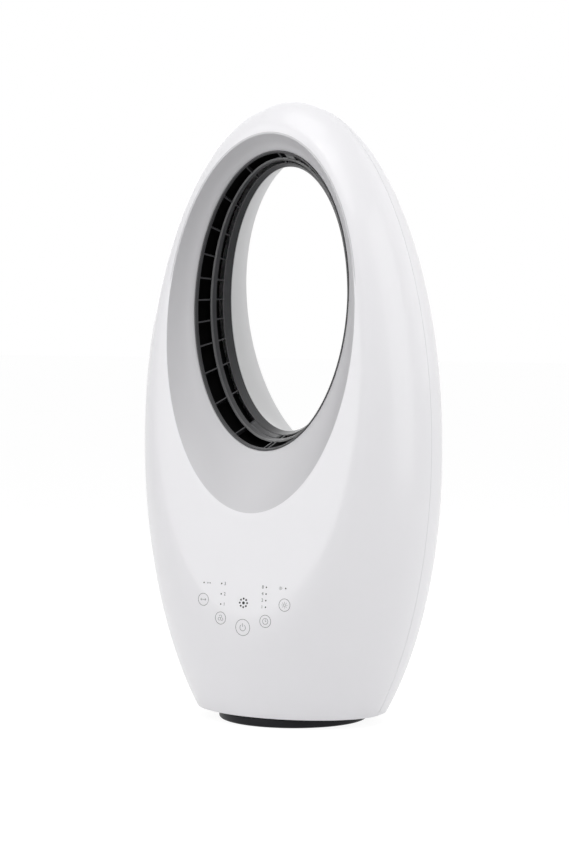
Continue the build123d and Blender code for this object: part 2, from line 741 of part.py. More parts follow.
def impeller():
    """Mixed-flow wheel: cone hub and curved blades."""
    low, high = IMPELLER_Z, IMPELLER_Z + IMPELLER_HEIGHT
    bore = SHAFT_R + SHAFT_GAP
    hub = turned([
        (bore, low), (HUB_LOW_R - 4, low), (HUB_LOW_R, low + 4), (HUB_HIGH_R, high),
        (HUB_HIGH_R - HUB_WALL, high), (HUB_LOW_R + HUB_WALL, low + 10), (bore + 5, low + 12), (bore + 5, high - 4),
        (bore, high - 4),
    ])
    room = turned([
        (HUB_LOW_R - 1, low + 4), (INLET_R - TIP_GAP, low + 0.5), (BLOWER_R - 0.4, high - 1),
        (HUB_HIGH_R - 1, high),
    ])
    blade = curved_blade((-20, low), (-4, low + 12), (10, high), BLADE_THICKNESS, 8, BLOWER_R + 4)
    blades = [Rot(0, 0, 360 / BLADE_COUNT * n) * blade & room for n in range(BLADE_COUNT)]
    return hub + blades


def blower_motor():
    low = CUP_Z + CUP_WALL
    can = rod(BLOWER_MOTOR_R, BLOWER_MOTOR_HEIGHT)
    can = fillet(can.edges().group_by(Axis.Z)[-1], 3.0)
    can += Pos(0, 0, BLOWER_MOTOR_HEIGHT - 1) * rod(9, 5)
    can -= Pos(0, 0, -1) * rod(SHAFT_R + RUNNING_GAP, BLOWER_MOTOR_HEIGHT + 8)
    return Pos(0, 0, low) * can


def motor_shaft():
    low = IMPELLER_Z - SHAFT_BELOW
    return Pos(0, 0, low) * rod(SHAFT_R, CUP_Z + CUP_WALL + BLOWER_MOTOR_HEIGHT + 6 - low)


def shaft_nut():
    nut = extrude(RegularPolygon(NUT_R, 6), NUT_HEIGHT) - rod(SHAFT_R + SHAFT_GAP, NUT_HEIGHT)
    return Pos(0, 0, IMPELLER_Z - NUT_HEIGHT) * nut


def motor_cap():
    """Domed cover over the motor cup, flat in the middle."""
    outer = dome_line(CUP_R, CAP_RISE)
    inner = dome_line(CUP_R - CUP_WALL, CAP_RISE - CUP_WALL)
    rim = Line((CUP_R, 0, CUP_TOP), (CUP_R - CUP_WALL, 0, CUP_TOP))
    axis = Line((0, 0, CUP_TOP + CAP_RISE), (0, 0, CUP_TOP + CAP_RISE - CUP_WALL))
    return revolve(make_face([*outer, rim, *inner, axis]), Axis.Z)


def dome_line(radius, rise):
    """Flat and arc of the cap from the axis down to the cup's rim."""
    top = CUP_TOP + rise
    middle = (CAP_FLAT_R + (radius - CAP_FLAT_R) * 0.6, 0, CUP_TOP + rise * 0.7)
    flat = Line((0, 0, top), (CAP_FLAT_R, 0, top))
    return [flat, ThreePointArc((CAP_FLAT_R, 0, top), middle, (radius, 0, CUP_TOP))]


def blower_gasket():
    return Pos(0, 0, GASKET_Z) * tube(FLANGE_R, DUCT_R, GASKET_HEIGHT)


def partition_plate():
    """Shelf between the blower room and the air ring, with a collar around the duct."""
    z = GASKET_Z + GASKET_HEIGHT
    plate = level_plate(z, PARTITION_THICKNESS, FIT_GAP)
    plate += Pos(0, 0, z) * rod(DUCT_R + COLLAR_WALL, COLLAR_HEIGHT)
    return plate - Pos(0, 0, z - 1) * rod(DUCT_R, COLLAR_HEIGHT + 2)


# ---- touch panel -----------------------------------------------------------
def behind_panel(x, z, depth, shape):
    """Place a shape flat behind the front face; depth counts from the outer surface."""
    up = (z - FACE_Z) / math.cos(math.radians(FACE_LEAN))
    return FACE * Pos(x, up, -depth) * shape


def touch_board():
    board = extrude(RectangleRounded(*PANEL_SIZE, 3), -BOARD_THICKNESS)
    return behind_panel(0, PANEL_Z, TOUCH_DEPTH, board)


def touch_springs():
    """Sensor springs that press against the inside of the front wall, one behind each key."""
    ring = Circle(KEY_SPRING_R) - Circle(KEY_SPRING_R - KEY_SPRING_WIRE)
    spring = extrude(ring, PANEL_ROOM - FIT_GAP)
    depth = TOUCH_DEPTH - PRESS_GAP
    return Compound(children=[behind_panel(x, z, depth, spring) for x, z in PANEL_KEYS])


def panel_lamps():
    """Small lamps behind the indicator dots."""
    lamp = extrude(Rectangle(LAMP_SIZE, LAMP_SIZE), 1)
    places = [(x, z) for x in LAMP_ROW_X for z in LAMP_ROW_Z]
    return Compound(children=[behind_panel(x, z, TOUCH_DEPTH, lamp) for x, z in places])


def ir_receiver():
    body = extrude(Rectangle(6, 7), 3) + Pos(0, 0, 3) * extrude(Circle(2.4), 1.2)
    return behind_panel(0, PANEL_Z + 7, TOUCH_DEPTH, body)


def cord_gland():
    """Grommet in the back of the housing where the supply cord enters."""
    low = GLAND_SEAT_Y - GLAND_LENGTH
    high = GLAND_SEAT_Y + GLAND_FLANGE_THICKNESS
    gland = along_y(0, GLAND_Z, low, high, GLAND_R)
    gland += along_y(0, GLAND_Z, GLAND_SEAT_Y, high, GLAND_FLANGE_R)
    return gland - along_y(0, GLAND_Z, 0, BIG, GLAND_BORE_R)


def clamp_washer():
    return Pos(0, 0, SLEEVE_TOP + WASHER_GAP) * tube(WASHER_R, POST_R + PRESS_GAP, WASHER_THICKNESS)


def clamp_ring():
    """Snap ring on top of the post that locks the sun gear."""
    z = GEAR_Z + GEAR_WIDTH
    return Pos(0, 0, z) * tube(POST_R + CLAMP_WALL, POST_R + PRESS_GAP, CLAMP_HEIGHT)


SWIVEL_NODES = {
    "base_foot": base_foot,
    "base_cover": base_cover,
    "ballast_plate": ballast_plate,
    "foot_pads": foot_pads,
    "glide_ring": glide_ring,
    "sun_gear": sun_gear,
    "clamp_washer": clamp_washer,
    "clamp_ring": clamp_ring,
    "swing_pinion": swing_pinion,
    "swing_motor": swing_motor,
    "bottom_plate": bottom_plate,
    "control_board": control_board,
    "capacitor": capacitor,
    "transformer": transformer,
    "relay": relay,
    "terminal_block": terminal_block,
}
HOUSING_NODES = {
    "front_shell": front_shell,
    "rear_shell": rear_shell,
    "front_bezel": front_bezel,
    "outlet_grille": outlet_grille,
    "rear_bezel": rear_bezel,
    "light_strip": light_strip,
    "shell_screws": shell_screws,
    "inlet_filter": inlet_filter,
    "blower_housing": blower_housing,
    "diffuser": diffuser,
    "impeller": impeller,
    "blower_motor": blower_motor,
    "motor_shaft": motor_shaft,
    "shaft_nut": shaft_nut,
    "motor_cap": motor_cap,
    "blower_gasket": blower_gasket,
    "partition_plate": partition_plate,
    "touch_board": touch_board,
    "touch_springs": touch_springs,
    "panel_lamps": panel_lamps,
    "ir_receiver": ir_receiver,
    "cord_gland": cord_gland,
}

for node, make in SWIVEL_NODES.items():
    save(make(), node)
for node, make in HOUSING_NODES.items():
    save(make(), node, HOUSING)
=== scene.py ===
import json
from functools import partial
from math import atan2, cos, hypot, pi, radians, sin, sqrt, tan

import bmesh
import bpy
from bpy.props import FloatProperty, FloatVectorProperty, IntProperty, PointerProperty
from bpy.types import Operator, Panel, PropertyGroup
from mathutils import Matrix, Vector


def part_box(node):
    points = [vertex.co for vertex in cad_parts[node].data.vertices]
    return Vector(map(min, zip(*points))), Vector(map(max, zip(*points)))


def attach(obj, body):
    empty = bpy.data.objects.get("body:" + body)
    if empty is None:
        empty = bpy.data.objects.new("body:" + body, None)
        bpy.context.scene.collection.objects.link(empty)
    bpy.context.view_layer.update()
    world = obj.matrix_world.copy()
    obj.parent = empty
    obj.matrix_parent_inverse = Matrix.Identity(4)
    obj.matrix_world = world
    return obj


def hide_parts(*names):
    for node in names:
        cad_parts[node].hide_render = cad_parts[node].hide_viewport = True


bl_info = {
    "name": "Bladeless fan",
    "version": (1, 0, 0),
    "blender": (4, 5, 0),
    "location": "3D View > Sidebar > Fan",
    "description": "Builds the smooth pieces, finishes and studio of a bladeless fan",
    "category": "Object",
}

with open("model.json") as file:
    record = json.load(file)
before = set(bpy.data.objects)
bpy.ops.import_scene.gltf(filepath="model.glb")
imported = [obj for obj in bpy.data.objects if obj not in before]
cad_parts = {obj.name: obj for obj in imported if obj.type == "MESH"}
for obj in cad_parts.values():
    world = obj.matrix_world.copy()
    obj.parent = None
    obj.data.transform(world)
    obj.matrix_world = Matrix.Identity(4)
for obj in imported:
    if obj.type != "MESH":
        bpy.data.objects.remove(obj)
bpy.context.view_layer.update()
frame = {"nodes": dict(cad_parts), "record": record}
SEAM_Y = round(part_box("rear_shell")[0][1], 4)
HEIGHT = round(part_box("front_shell")[1][2], 4)
HALF_WIDTH = round(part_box("rear_shell")[1][0], 4)
SKIRT_Z = round(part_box("rear_shell")[0][2], 4)
FOOT_TOP = 0.009

# Sections of the air ring, in metres and degrees:
# half width, half height, centre height, depth behind the parting plane, lean.
BEZEL_RIM = (0.1025, 0.1797, 0.3855, -0.0611, 5.6)
BEZEL_EDGE = (0.0837, 0.1420, 0.4066, -0.0406, 5.0)
THROAT = (0.0650, 0.1274, 0.4080, -0.0026, 0.0)
REAR_RIM = (0.0940, 0.1520, 0.4000, 0.0785, -9.9)


# ---- settings ----
def number(name, text, default, **more):
    return FloatProperty(name=name, description=text, default=default, **more)


def angle(name, text, degrees):
    return number(name, text, radians(degrees), subtype="ANGLE")


def count(name, text, default, least):
    return IntProperty(name=name, description=text, default=default, min=least)


def colour(name, text, default):
    return FloatVectorProperty(
        name=name, description=text, default=default, subtype="COLOR", size=3, min=0, max=1
    )


length = partial(number, unit="LENGTH", precision=4)
power = partial(number, unit="POWER")


class FanHousingSettings(PropertyGroup):
    centre_z: length("Widest height", "Height of the widest section of the housing", 0.268)
    half_width: length("Half width", "Half width of the housing", HALF_WIDTH)
    half_depth: length("Half depth", "Half depth before the front is cut flat", 0.106)
    face_y: length("Face depth", "Depth of the flat face ahead of the parting plane", 0.0695)
    face_z: length("Face height", "Height at which the face depth is measured", 0.300)
    face_lean: angle("Face lean", "How far the flat face leans back", 5.6)
    rear_power: number("Rear fullness", "Power of the rear plan; 2 is an ellipse", 2.2, min=2.0)
    low_power: number("Low fullness", "What that power gains at the floor", 0.3, min=0.0)
    crease: length("Crease", "Depth over which the flat face blends into the sides", 0.0052)
    wall: length("Wall", "Thickness of the shells", 0.0026)
    seam: length("Seam", "Gap between the two shells", 0.0005)
    edge: length("Edge", "Rounding of the shells' edges", 0.0005)
    segments: count("Segments", "Points around each shell", 256, 32)
    rings: count("Rings", "Rows of points from the ring to the seam", 88, 12)


class FanRingSettings(PropertyGroup):
    wall: length("Ring wall", "Thickness of the black rings", 0.0015)
    bezel_wall: length("Bezel wall", "Thickness of the grey bezels", 0.0022)
    dish: length("Dish", "How far the front bezel is hollowed", 0.0030)
    roll_width: length("Roll width", "Width of the bezel's roll into the outlet", 0.0050)
    roll_depth: length("Roll depth", "Depth of that roll", 0.0028)
    edge_out: length("Edge out", "Gap between the bezel's edge and the outlet's", 0.0009)
    rib_count: count("Ribs", "Ribs around the outlet", 24, 4)
    rib_width: length("Rib width", "Thickness of a rib", 0.0014)
    rib_depth: length("Rib depth", "How far a rib reaches outward", 0.0070)
    duct_depth: length("Duct depth", "How far the dark duct stands back from the slots", 0.0100)
    segments: count("Segments", "Points around each ring", 256, 32)


class FanInletSettings(PropertyGroup):
    centre_z: length("Centre height", "Height of the middle of the inlet", 0.118)
    half_width: length("Half width", "Half width of the slotted patch", 0.088)
    half_height: length("Half height", "Half height of the slotted patch", 0.054)
    slot_length: length("Slot length", "Length of one slot", 0.050)
    slot_height: length("Slot height", "Height of one slot", 0.0040)
    pitch_x: length("Pitch across", "Distance between slots side by side", 0.055)
    pitch_z: length("Pitch up", "Distance between rows", 0.009)


class FanFootSettings(PropertyGroup):
    radius: length("Radius", "Radius of the foot", 0.0725)
    edge: length("Edge", "Rounding of the lower edge", 0.0024)
    top_edge: length("Top edge", "Rounding of the upper edge", 0.0008)
    low_z: length("Underside", "Height of the foot's underside", 0.0007)
    wall: length("Wall", "Thickness of the foot's wall", 0.0024)
    segments: count("Segments", "Points around the foot", 160, 24)


class FanPanelSettings(PropertyGroup):
    stroke: length("Stroke", "Width of the printed circles", 0.00040)
    key: length("Key circle", "Radius of the small touch circles", 0.0058)
    power_key: length("Power circle", "Radius of the power circle", 0.0077)
    dot: length("Dot", "Radius of an indicator dot", 0.00075)
    proud: length("Ink", "Height of the ink over the shell", 0.00004)
    figure: length("Figure height", "Height of the printed figures", 0.0033)


class FanFinishSettings(PropertyGroup):
    shell: colour("Shell", "Glossy white of the shells", (0.834, 0.828, 0.850))
    bezel: colour("Bezel", "Satin grey of the front bezel", (0.594, 0.589, 0.606))
    rear: colour("Rear bezel", "Light grey of the rear bezel", (0.720, 0.722, 0.730))
    outlet: colour("Outlet", "Black of the outlet", (0.030, 0.030, 0.033))
    # The lip's grey, lighter than the outlet's black, is a painted highlight on its rounded edge;
    # the lip is the same black plastic as the outlet.
    lip: colour("Outlet lip", "Dark grey of the outlet's lip", (0.075, 0.075, 0.078))
    foot: colour("Foot", "Black of the foot", (0.006, 0.006, 0.008))
    ink: colour("Ink", "Grey of the printed marks", (0.085, 0.085, 0.09))
    dark_ink: colour("Dark ink", "Near black of the dots", (0.010, 0.010, 0.012))


class FanStudioSettings(PropertyGroup):
    distance: length("Camera distance", "Distance from the camera to its target", 2.4)
    target_z: length("Target height", "Height that the camera looks at", 0.300)
    azimuth: angle("Azimuth", "Camera's turn to the right of the front", 29.5)
    elevation: angle("Elevation", "Camera's height as an angle", 2.44)
    roll: angle("Roll", "Camera's roll", 0.15)
    lens: number("Lens", "Focal length", 104.41, unit="CAMERA")
    shift_x: number("Shift X", "Camera shift across", -0.0066, precision=4)
    shift_y: number("Shift Y", "Camera shift up", -0.0187, precision=4)
    key_power: power("Key", "Power of the key lamp", 9.8)
    low_power: power("Low", "Power of the low lamp in front", 5.6)
    high_power: power("High", "Power of the high lamp on the right", 8.8)
    strip_power: power("Strip", "Power of the strip lamp on the right", 9.0)
    top_power: power("Top", "Power of the lamp above", 6.3)
    back_power: power("Back", "Power of the right lamp behind; the left one has double", 2.6)
    world: number("World", "Strength of the even light", 0.27)


# ---- nodes written as Python ----
class Link:
    """A socket on which Python arithmetic adds Math nodes."""

    def __init__(self, nodes, socket):
        self.nodes = nodes
        self.socket = socket

    def maths(self, operation, *values):
        return self.nodes.node("ShaderNodeMath", {"operation": operation}, values)

    def __add__(self, other):
        return self.maths("ADD", self, other)

    def __sub__(self, other):
        return self.maths("SUBTRACT", self, other)

    def __rsub__(self, other):
        return self.maths("SUBTRACT", other, self)

    def __mul__(self, other):
        return self.maths("MULTIPLY", self, other)

    __radd__ = __add__
    __rmul__ = __mul__


def find_socket(sockets, key):
    """Socket with an identifier, or else with a name or number."""
    return next((s for s in sockets if s.identifier == key), None) or sockets[key]


class Nodes:
    """A node tree with one output."""

    def __init__(self, tree, output):
        self.tree = tree
        tree.nodes.clear()
        self.surface = tree.nodes.new(output).inputs["Surface"]

    def node(self, kind, settings=None, inputs=(), output=0):
        """Add a node: settings first, then the values or links of its sockets."""
        made = self.tree.nodes.new(kind)
        for key, value in (settings or {}).items():
            setattr(made, key, value)
        for key, value in inputs.items() if isinstance(inputs, dict) else enumerate(inputs):
            self.set(find_socket(made.inputs, key), value)
        return Link(self, find_socket(made.outputs, output))

    def set(self, socket, value):
        if isinstance(value, Link):
            self.tree.links.new(value.socket, socket)
        elif hasattr(value, "__len__") and len(socket.default_value) == len(value) + 1:
            socket.default_value = (*value, 1.0)
        else:
            socket.default_value = value

    def show_white(self, plain, white, share=1.0):
        """Show one shader, and a share of a white one to rays straight, off gloss or through."""
        path = seen = self.node("ShaderNodeLightPath")
        for ray in ("Is Glossy Ray", "Is Transmission Ray"):
            seen = seen.maths("MAXIMUM", seen, Link(self, path.socket.node.outputs[ray]))
        mixed = self.node("ShaderNodeMixShader", None, (seen * share, plain, white))
        self.set(self.surface, mixed)


class Finish(Nodes):
    """A material with one Principled shader."""

    def __init__(self, name, **gloss):
        self.material = bpy.data.materials.new(name)
        self.material.use_nodes = True
        super().__init__(self.material.node_tree, "ShaderNodeOutputMaterial")
        self.shader = self.node("ShaderNodeBsdfPrincipled")
        self.set(self.surface, self.shader)
        self.feed(**{"coat_roughness": 0.05, **gloss})

    def feed(self, **sockets):
        """Values or links of the shader's sockets, such as coat_weight for Coat Weight."""
        named = {s.name.lower(): s for s in self.shader.socket.node.inputs}
        for key, value in sockets.items():
            self.set(named[key.replace("_", " ")], value)

    def place(self):
        return self.node("ShaderNodeTexCoord", output="Object")

    def noise(self, scale, detail, roughness=0.5, vector=None):
        values = {"Scale": scale, "Detail": detail, "Roughness": roughness}
        values["Vector"] = vector or self.place()
        return self.node("ShaderNodeTexNoise", {"noise_dimensions": "3D"}, values)

    def cells(self, scale, **settings):
        values = {"Vector": self.place(), "Scale": scale}
        return self.node("ShaderNodeTexVoronoi", {"feature": "F1", **settings}, values)

    def paint(self, shade, share, tints, roughness, height=None, distance=0.0):
        """Base colour between two tints of a shade, roughness and relief."""
        dark, light = (tuple(min(1.0, c * tint) for c in shade) for tint in tints)
        values = {"Factor_Float": share, "A_Color": dark, "B_Color": light}
        mixed = self.node("ShaderNodeMix", {"data_type": "RGBA"}, values, "Result_Color")
        self.feed(base_color=mixed, roughness=roughness)
        if height:
            values = {"Height": height, "Distance": distance, "Strength": 1.0}
            self.feed(normal=self.node("ShaderNodeBump", None, values))
        return self.material


def moulded(name, shade, roughness, grain=0.00003, grain_scale=900.0, spread=0.03, **gloss):
    """Moulded plastic: soft mottling, a fine grain and uneven gloss."""
    finish = Finish(name, **gloss)
    cloud = finish.noise(9.0, 3.0)
    grit = finish.noise(grain_scale, 2.0, 0.6)
    uneven = roughness + (cloud - 0.5) * 0.08 + (grit - 0.5) * 0.05
    return finish.paint(shade, cloud, (1 - spread, 1 + spread), uneven, grit, grain)


def glossy_shell(name, shade):
    """Glossy white with a very faint orange peel."""
    finish = Finish(name, coat_weight=0.35, coat_roughness=0.06, ior=1.36, coat_ior=1.36)
    cloud = finish.noise(5.0, 2.0)
    peel = finish.noise(160.0, 1.0)
    return finish.paint(shade, cloud, (0.985, 1.01), 0.30 + (cloud - 0.5) * 0.05, peel, 0.000012)


def lined_black(name, shade):
    """Satin black with the fine parallel lines that the tool leaves across the depth."""
    finish = Finish(name, coat_weight=0.15, coat_roughness=0.25)
    place = finish.place()
    depth = finish.node("ShaderNodeSeparateXYZ", None, [place], output="Y")
    lines = finish.node("ShaderNodeMath", {"operation": "SINE"}, [depth * 2600.0])
    grit = finish.noise(700.0, 2.0, 0.6, place)
    cloud = finish.noise(14.0, 3.0, 0.5, place)
    uneven = 0.42 + (cloud - 0.5) * 0.12 + (grit - 0.5) * 0.06
    return finish.paint(shade, cloud, (0.8, 1.25), uneven, grit * 0.5 + lines * 0.35, 0.00005)


def foam(name, shade):
    """Open foam, darker in its cells: painted shade in the pores."""
    finish = Finish(name)
    cells = finish.cells(900.0)
    return finish.paint(shade, cells, (0.4, 1.4), 0.95 - cells * 0.1, cells, 0.0004)


def brushed_metal(name, shade, roughness):
    """Plated or cast metal with faint turning marks."""
    finish = Finish(name, metallic=1.0)
    squeezed = {"Vector": finish.place(), "Scale": (1.0, 1.0, 24.0)}
    stretched = finish.node("ShaderNodeMapping", None, squeezed)
    brush = finish.noise(160.0, 3.0, 0.6, stretched)
    uneven = roughness + (brush - 0.5) * 0.2
    return finish.paint(shade, brush, (0.85, 1.1), uneven, brush, 0.00002)


def circuit_board(name, shade):
    """Solder mask with paler tracks under it."""
    finish = Finish(name, coat_weight=0.4, coat_roughness=0.2)
    cells = finish.cells(260.0, distance="MANHATTAN")
    tracks = finish.node("ShaderNodeMath", {"operation": "GREATER_THAN"}, [cells, 0.42])
    return finish.paint(shade, tracks, (1.0, 1.5), 0.45 - tracks * 0.1, tracks, 0.00003)


satin = partial(moulded, spread=0.02, coat_roughness=0.3)
# Makers of the finishes, with all but their name and colour settled.
RECIPES = {
    "gloss_white": glossy_shell,
    "bezel_grey": partial(satin, roughness=0.40, coat_weight=0.12),
    "rear_grey": partial(satin, roughness=0.42, coat_weight=0.10),
    "outlet_black": lined_black,
    "lip_black": partial(moulded, roughness=0.32, spread=0.2, coat_weight=0.3, coat_roughness=0.2),
    "duct_black": partial(moulded, roughness=0.9, spread=0.3, ior=1.08),
    "foot_black": partial(
        moulded, roughness=0.45, spread=0.2, coat_weight=0.06, coat_roughness=0.2, ior=1.25
    ),
    "ink_grey": partial(moulded, roughness=0.55, grain=0.000004, spread=0.08),
    "ink_dark": partial(moulded, roughness=0.5, grain=0.000004, spread=0.08),
    "steel": partial(brushed_metal, roughness=0.34),
    "alu": partial(brushed_metal, roughness=0.5),
    "board_green": circuit_board,
    "filter_foam": foam,
    "pad_rubber": partial(moulded, roughness=0.82, grain=0.00008, grain_scale=500.0, spread=0.15),
    "gear_nylon": partial(moulded, roughness=0.5, grain=0.00004),
    "lamp_white": partial(moulded, roughness=0.3, coat_weight=0.3),
}
PLAIN_RECIPE = partial(moulded, roughness=0.5, grain=0.00005)
# Near black of the duct behind the slots, darker than the black plastic: painted shade inside the
# slots.
DUCT_BLACK_AND_SHADE = (0.003, 0.003, 0.003)
FINISHES = {}


def make_finishes(colours):
    """One material for each slot of the record, and those of this script's own pieces."""
    shades = {m["slot"]: m["base_color"][:3] for m in frame["record"]["materials"]}
    shades.update(
        gloss_white=colours.shell,
        bezel_grey=colours.bezel,
        rear_grey=colours.rear,
        outlet_black=colours.outlet,
        lip_black=colours.lip,
        duct_black=DUCT_BLACK_AND_SHADE,
        foot_black=colours.foot,
        ink_grey=colours.ink,
        ink_dark=colours.dark_ink,
    )
    return {slot: RECIPES.get(slot, PLAIN_RECIPE)(slot, shade) for slot, shade in shades.items()}


# ---- mesh helpers ----
SHARP_ANGLE = radians(35.0)
BEVEL_ANGLE = radians(50.0)
QUARTER_ABOUT_X = Matrix.Rotation(pi / 2, 4, "X")


def smooth_max(a, b, blend):
    """The larger of two values, rounded where they meet."""
    near = max(blend - abs(a - b), 0.0) / blend
    return max(a, b) + near * near * blend / 4


def section_point(section, turn, out=0.0):
    """Point of an oval ring section at an angle, out metres further from its middle."""
    half_x, half_z, centre_z, depth, lean = section
    reach = (half_z + out) * sin(turn)
    y = SEAM_Y + depth + tan(radians(lean)) * reach
    return Vector(((half_x + out) * cos(turn), y, centre_z + reach))


def between(first, last, share):
    return tuple(a + (b - a) * share for a, b in zip(first, last))


def only(kind, geometry):
    return [part for part in geometry if isinstance(part, kind)]


def shaped_tube(rings, segments, shape):
    """Tube of rings made by extruding a circle; shape(turn, row) then places each point."""
    bm = bmesh.new()
    circle = bmesh.ops.create_circle(bm, segments=segments, radius=1.0)["verts"]
    edges = list({e for v in circle for e in v.link_edges})
    for _ in range(rings - 1):
        grown = bmesh.ops.extrude_edge_only(bm, edges=edges)["geom"]
        edges = only(bmesh.types.BMEdge, grown)
        bmesh.ops.translate(bm, verts=only(bmesh.types.BMVert, grown), vec=(0, 0, 1))
    for vert in bm.verts:
        vert.co = shape(atan2(vert.co.y, vert.co.x), round(vert.co.z))
    return bm


def spin(bm, geometry, turn, steps):
    """Turn a profile about Z; a full turn is merged at its ends."""
    full = turn >= 2 * pi
    bmesh.ops.spin(
        bm, geom=geometry, cent=(0, 0, 0), axis=(0, 0, 1), angle=turn, steps=steps, use_merge=full
    )


def face_out(bm):
    """Turn a closed mesh's faces outwards."""
    bmesh.ops.recalc_face_normals(bm, faces=bm.faces)


def merge(bm, dist=1e-7):
    """Merge doubles."""
    bmesh.ops.remove_doubles(bm, verts=bm.verts, dist=dist)


def face_away(bm, centre):
    """Turn all faces of an open skin away from a point."""
    face_out(bm)
    away = sum(f.normal.dot(f.calc_center_median() - centre) * f.calc_area() for f in bm.faces)
    if away < 0:
        bmesh.ops.reverse_faces(bm, faces=bm.faces)


def wrap(bm):
    """Close a skin from its last ring back to its first."""
    bmesh.ops.bridge_loops(bm, edges=[e for e in bm.edges if e.is_boundary])


def cut_away(bm, point, normal):
    """Cut a mesh by a plane, drop what lies on its normal's side and return the cut's edges."""
    geometry = bm.verts[:] + bm.edges[:] + bm.faces[:]
    cut = bmesh.ops.bisect_plane(
        bm, geom=geometry, dist=1e-6, plane_co=point, plane_no=normal, clear_outer=True
    )
    return only(bmesh.types.BMEdge, cut["geom_cut"])


def stand(bm, verts, place):
    """Turn what was made round Z to lie along Y, and put it in place."""
    bmesh.ops.rotate(bm, verts=verts, matrix=QUARTER_ABOUT_X)
    bmesh.ops.translate(bm, verts=verts, vec=place)


def add_bar(bm, middle, radius, depth, segments):
    """Round bar along Y."""
    made = bmesh.ops.create_cone(
        bm, cap_ends=True, segments=segments, radius1=radius, radius2=radius, depth=depth
    )
    stand(bm, made["verts"], middle)


def to_mesh(name, bm):
    mesh = bpy.data.meshes.new(name)
    bm.to_mesh(mesh)
    bm.free()
    return mesh


def join(whole, part):
    """Add one bmesh to another."""
    mesh = to_mesh("part", part)
    whole.from_mesh(mesh)
    bpy.data.meshes.remove(mesh)


def link_object(name, data):
    made = bpy.data.objects.new(name, data)
    bpy.context.scene.collection.objects.link(made)
    return made


def smooth(mesh):
    """Smooth shading, with sharp edges where the surface turns quickly."""
    mesh.shade_smooth()
    mesh.set_sharp_from_angle(angle=SHARP_ANGLE)


def add_piece(name, bm, finish, body="housing", replaces=()):
    """Object from a bmesh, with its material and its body."""
    mesh = to_mesh(name, bm)
    piece = link_object(name, mesh)
    mesh.materials.append(FINISHES[finish])
    smooth(mesh)
    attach(piece, body)
    if replaces:
        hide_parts(*replaces)
    return piece


def final_mesh(piece):
    """New mesh of a piece with its modifiers applied."""
    graph = bpy.context.evaluated_depsgraph_get()
    return bpy.data.meshes.new_from_object(piece.evaluated_get(graph))


def freeze(piece):
    """Apply a piece's modifiers."""
    mesh = final_mesh(piece)
    piece.modifiers.clear()
    old, piece.data = piece.data, mesh
    bpy.data.meshes.remove(old)
    mesh.name = piece.name
    smooth(mesh)


def thicken(piece, wall, offset=-1.0, even=True):
    """Give a skin its wall."""
    solid = piece.modifiers.new("wall", "SOLIDIFY")
    solid.thickness = wall
    solid.offset = offset
    solid.use_even_offset = even


def round_edges(piece, width, segments=3):
    """Round a piece's sharp edges."""
    bevel = piece.modifiers.new("edge", "BEVEL")
    bevel.width = width
    bevel.segments = segments
    bevel.limit_method = "ANGLE"
    bevel.angle_limit = BEVEL_ANGLE


# ---- housing ----
# The back's cutters: middle behind the parting plane, and depth.
SLOT_CUTTER = (0.082, 0.10)
WELL_CUTTER = (0.072, 0.12)
SLOT_ROUND = 0.48  # share of a slot's height
SCREW_SPREAD = 0.008  # points of one screw lie this close together
WELL_BORE = 0.0032
WELL_RADII = (0.0033, 0.0046)
WELL_SEGMENTS = 28
WELL_START = 0.0118
WELL_SINK = 0.0015
CORD_RECESS = (0.009, 0.0024)  # radius, depth over the grommet's end
CORD_CUTTER = 0.04
FUNNEL_GAP = 0.0024
TONGUE_INSET = 0.45  # share of the shell's wall
TONGUE_WALL = 0.0012
TONGUE_REACH = 0.003
TONGUE_RISE = 0.0008


def outline(housing, turn, inset=0.0):
    """Point of the seam's outline."""
    high = HEIGHT - housing.centre_z - inset
    across = (housing.half_width - inset) * cos(turn)
    return Vector((across, SEAM_Y, housing.centre_z + high * sin(turn)))


def side_depth(housing, x, z, fullness=2.0):
    """Depth of the egg from the parting plane at x and z; over 2 its plan is fuller."""
    high = HEIGHT - housing.centre_z
    size = sqrt(max(0.0, 1 - ((z - housing.centre_z) / high) ** 2))
    share = abs(x) / max(housing.half_width * size, 1e-9)
    return housing.half_depth * size * max(0.0, 1 - share ** fullness) ** (1 / fullness)


def rear_depth(housing, x, z):
    """Depth of the rear shell, whose plan grows fuller towards the foot."""
    low = max(0.0, 1 - z / housing.centre_z)
    return side_depth(housing, x, z, housing.rear_power + housing.low_power * low)


def front_y(housing, x, z):
    """Front skin behind the parting plane: the egg, cut by the leaning face with a soft crease."""
    face = housing.face_y - tan(housing.face_lean) * (z - housing.face_z)
    return smooth_max(-side_depth(housing, x, z), -face, housing.crease)


def funnel_end(housing, turn, out):
    """Share of the rear funnel at which it comes out of the egg."""
    low, high = 0.5, 1.5
    for _ in range(24):
        share = (low + high) / 2
        point = section_point(between(THROAT, REAR_RIM, share), turn, out)
        if point.y - SEAM_Y < rear_depth(housing, point.x, point.z):
            low = share
        else:
            high = share
    return low


def rear_hole(housing, turn):
    """Rim of the rear shell, just clear of the funnel's outer wall."""
    share = funnel_end(housing, turn, FUNNEL_GAP)
    return section_point(between(THROAT, REAR_RIM, share), turn, FUNNEL_GAP)


def add_shell(name, node, housing, side, rim, depth):
    """Half of the housing from the ring's rim to the seam, with a level skirt."""
    rings = housing.rings

    def shape(turn, row):
        share = sin(pi / 2 * row / (rings - 1))
        x, _, z = between(rim(turn), outline(housing, turn), share)
        return Vector((x, SEAM_Y + (depth(housing, x, z) if row < rings - 1 else 0.0), z))

    bm = shaped_tube(rings, housing.segments, shape)
    cut_away(bm, (0, 0, SKIRT_Z), (0, 0, -1))
    cut_away(bm, (0, SEAM_Y + side * housing.seam / 2, 0), (0, -side, 0))
    merge(bm, 1e-5)
    face_away(bm, Vector((0, SEAM_Y, housing.centre_z)))
    piece = add_piece(name, bm, "gloss_white", replaces=(node,))
    thicken(piece, housing.wall)
    round_edges(piece, housing.edge, 2)
    return piece


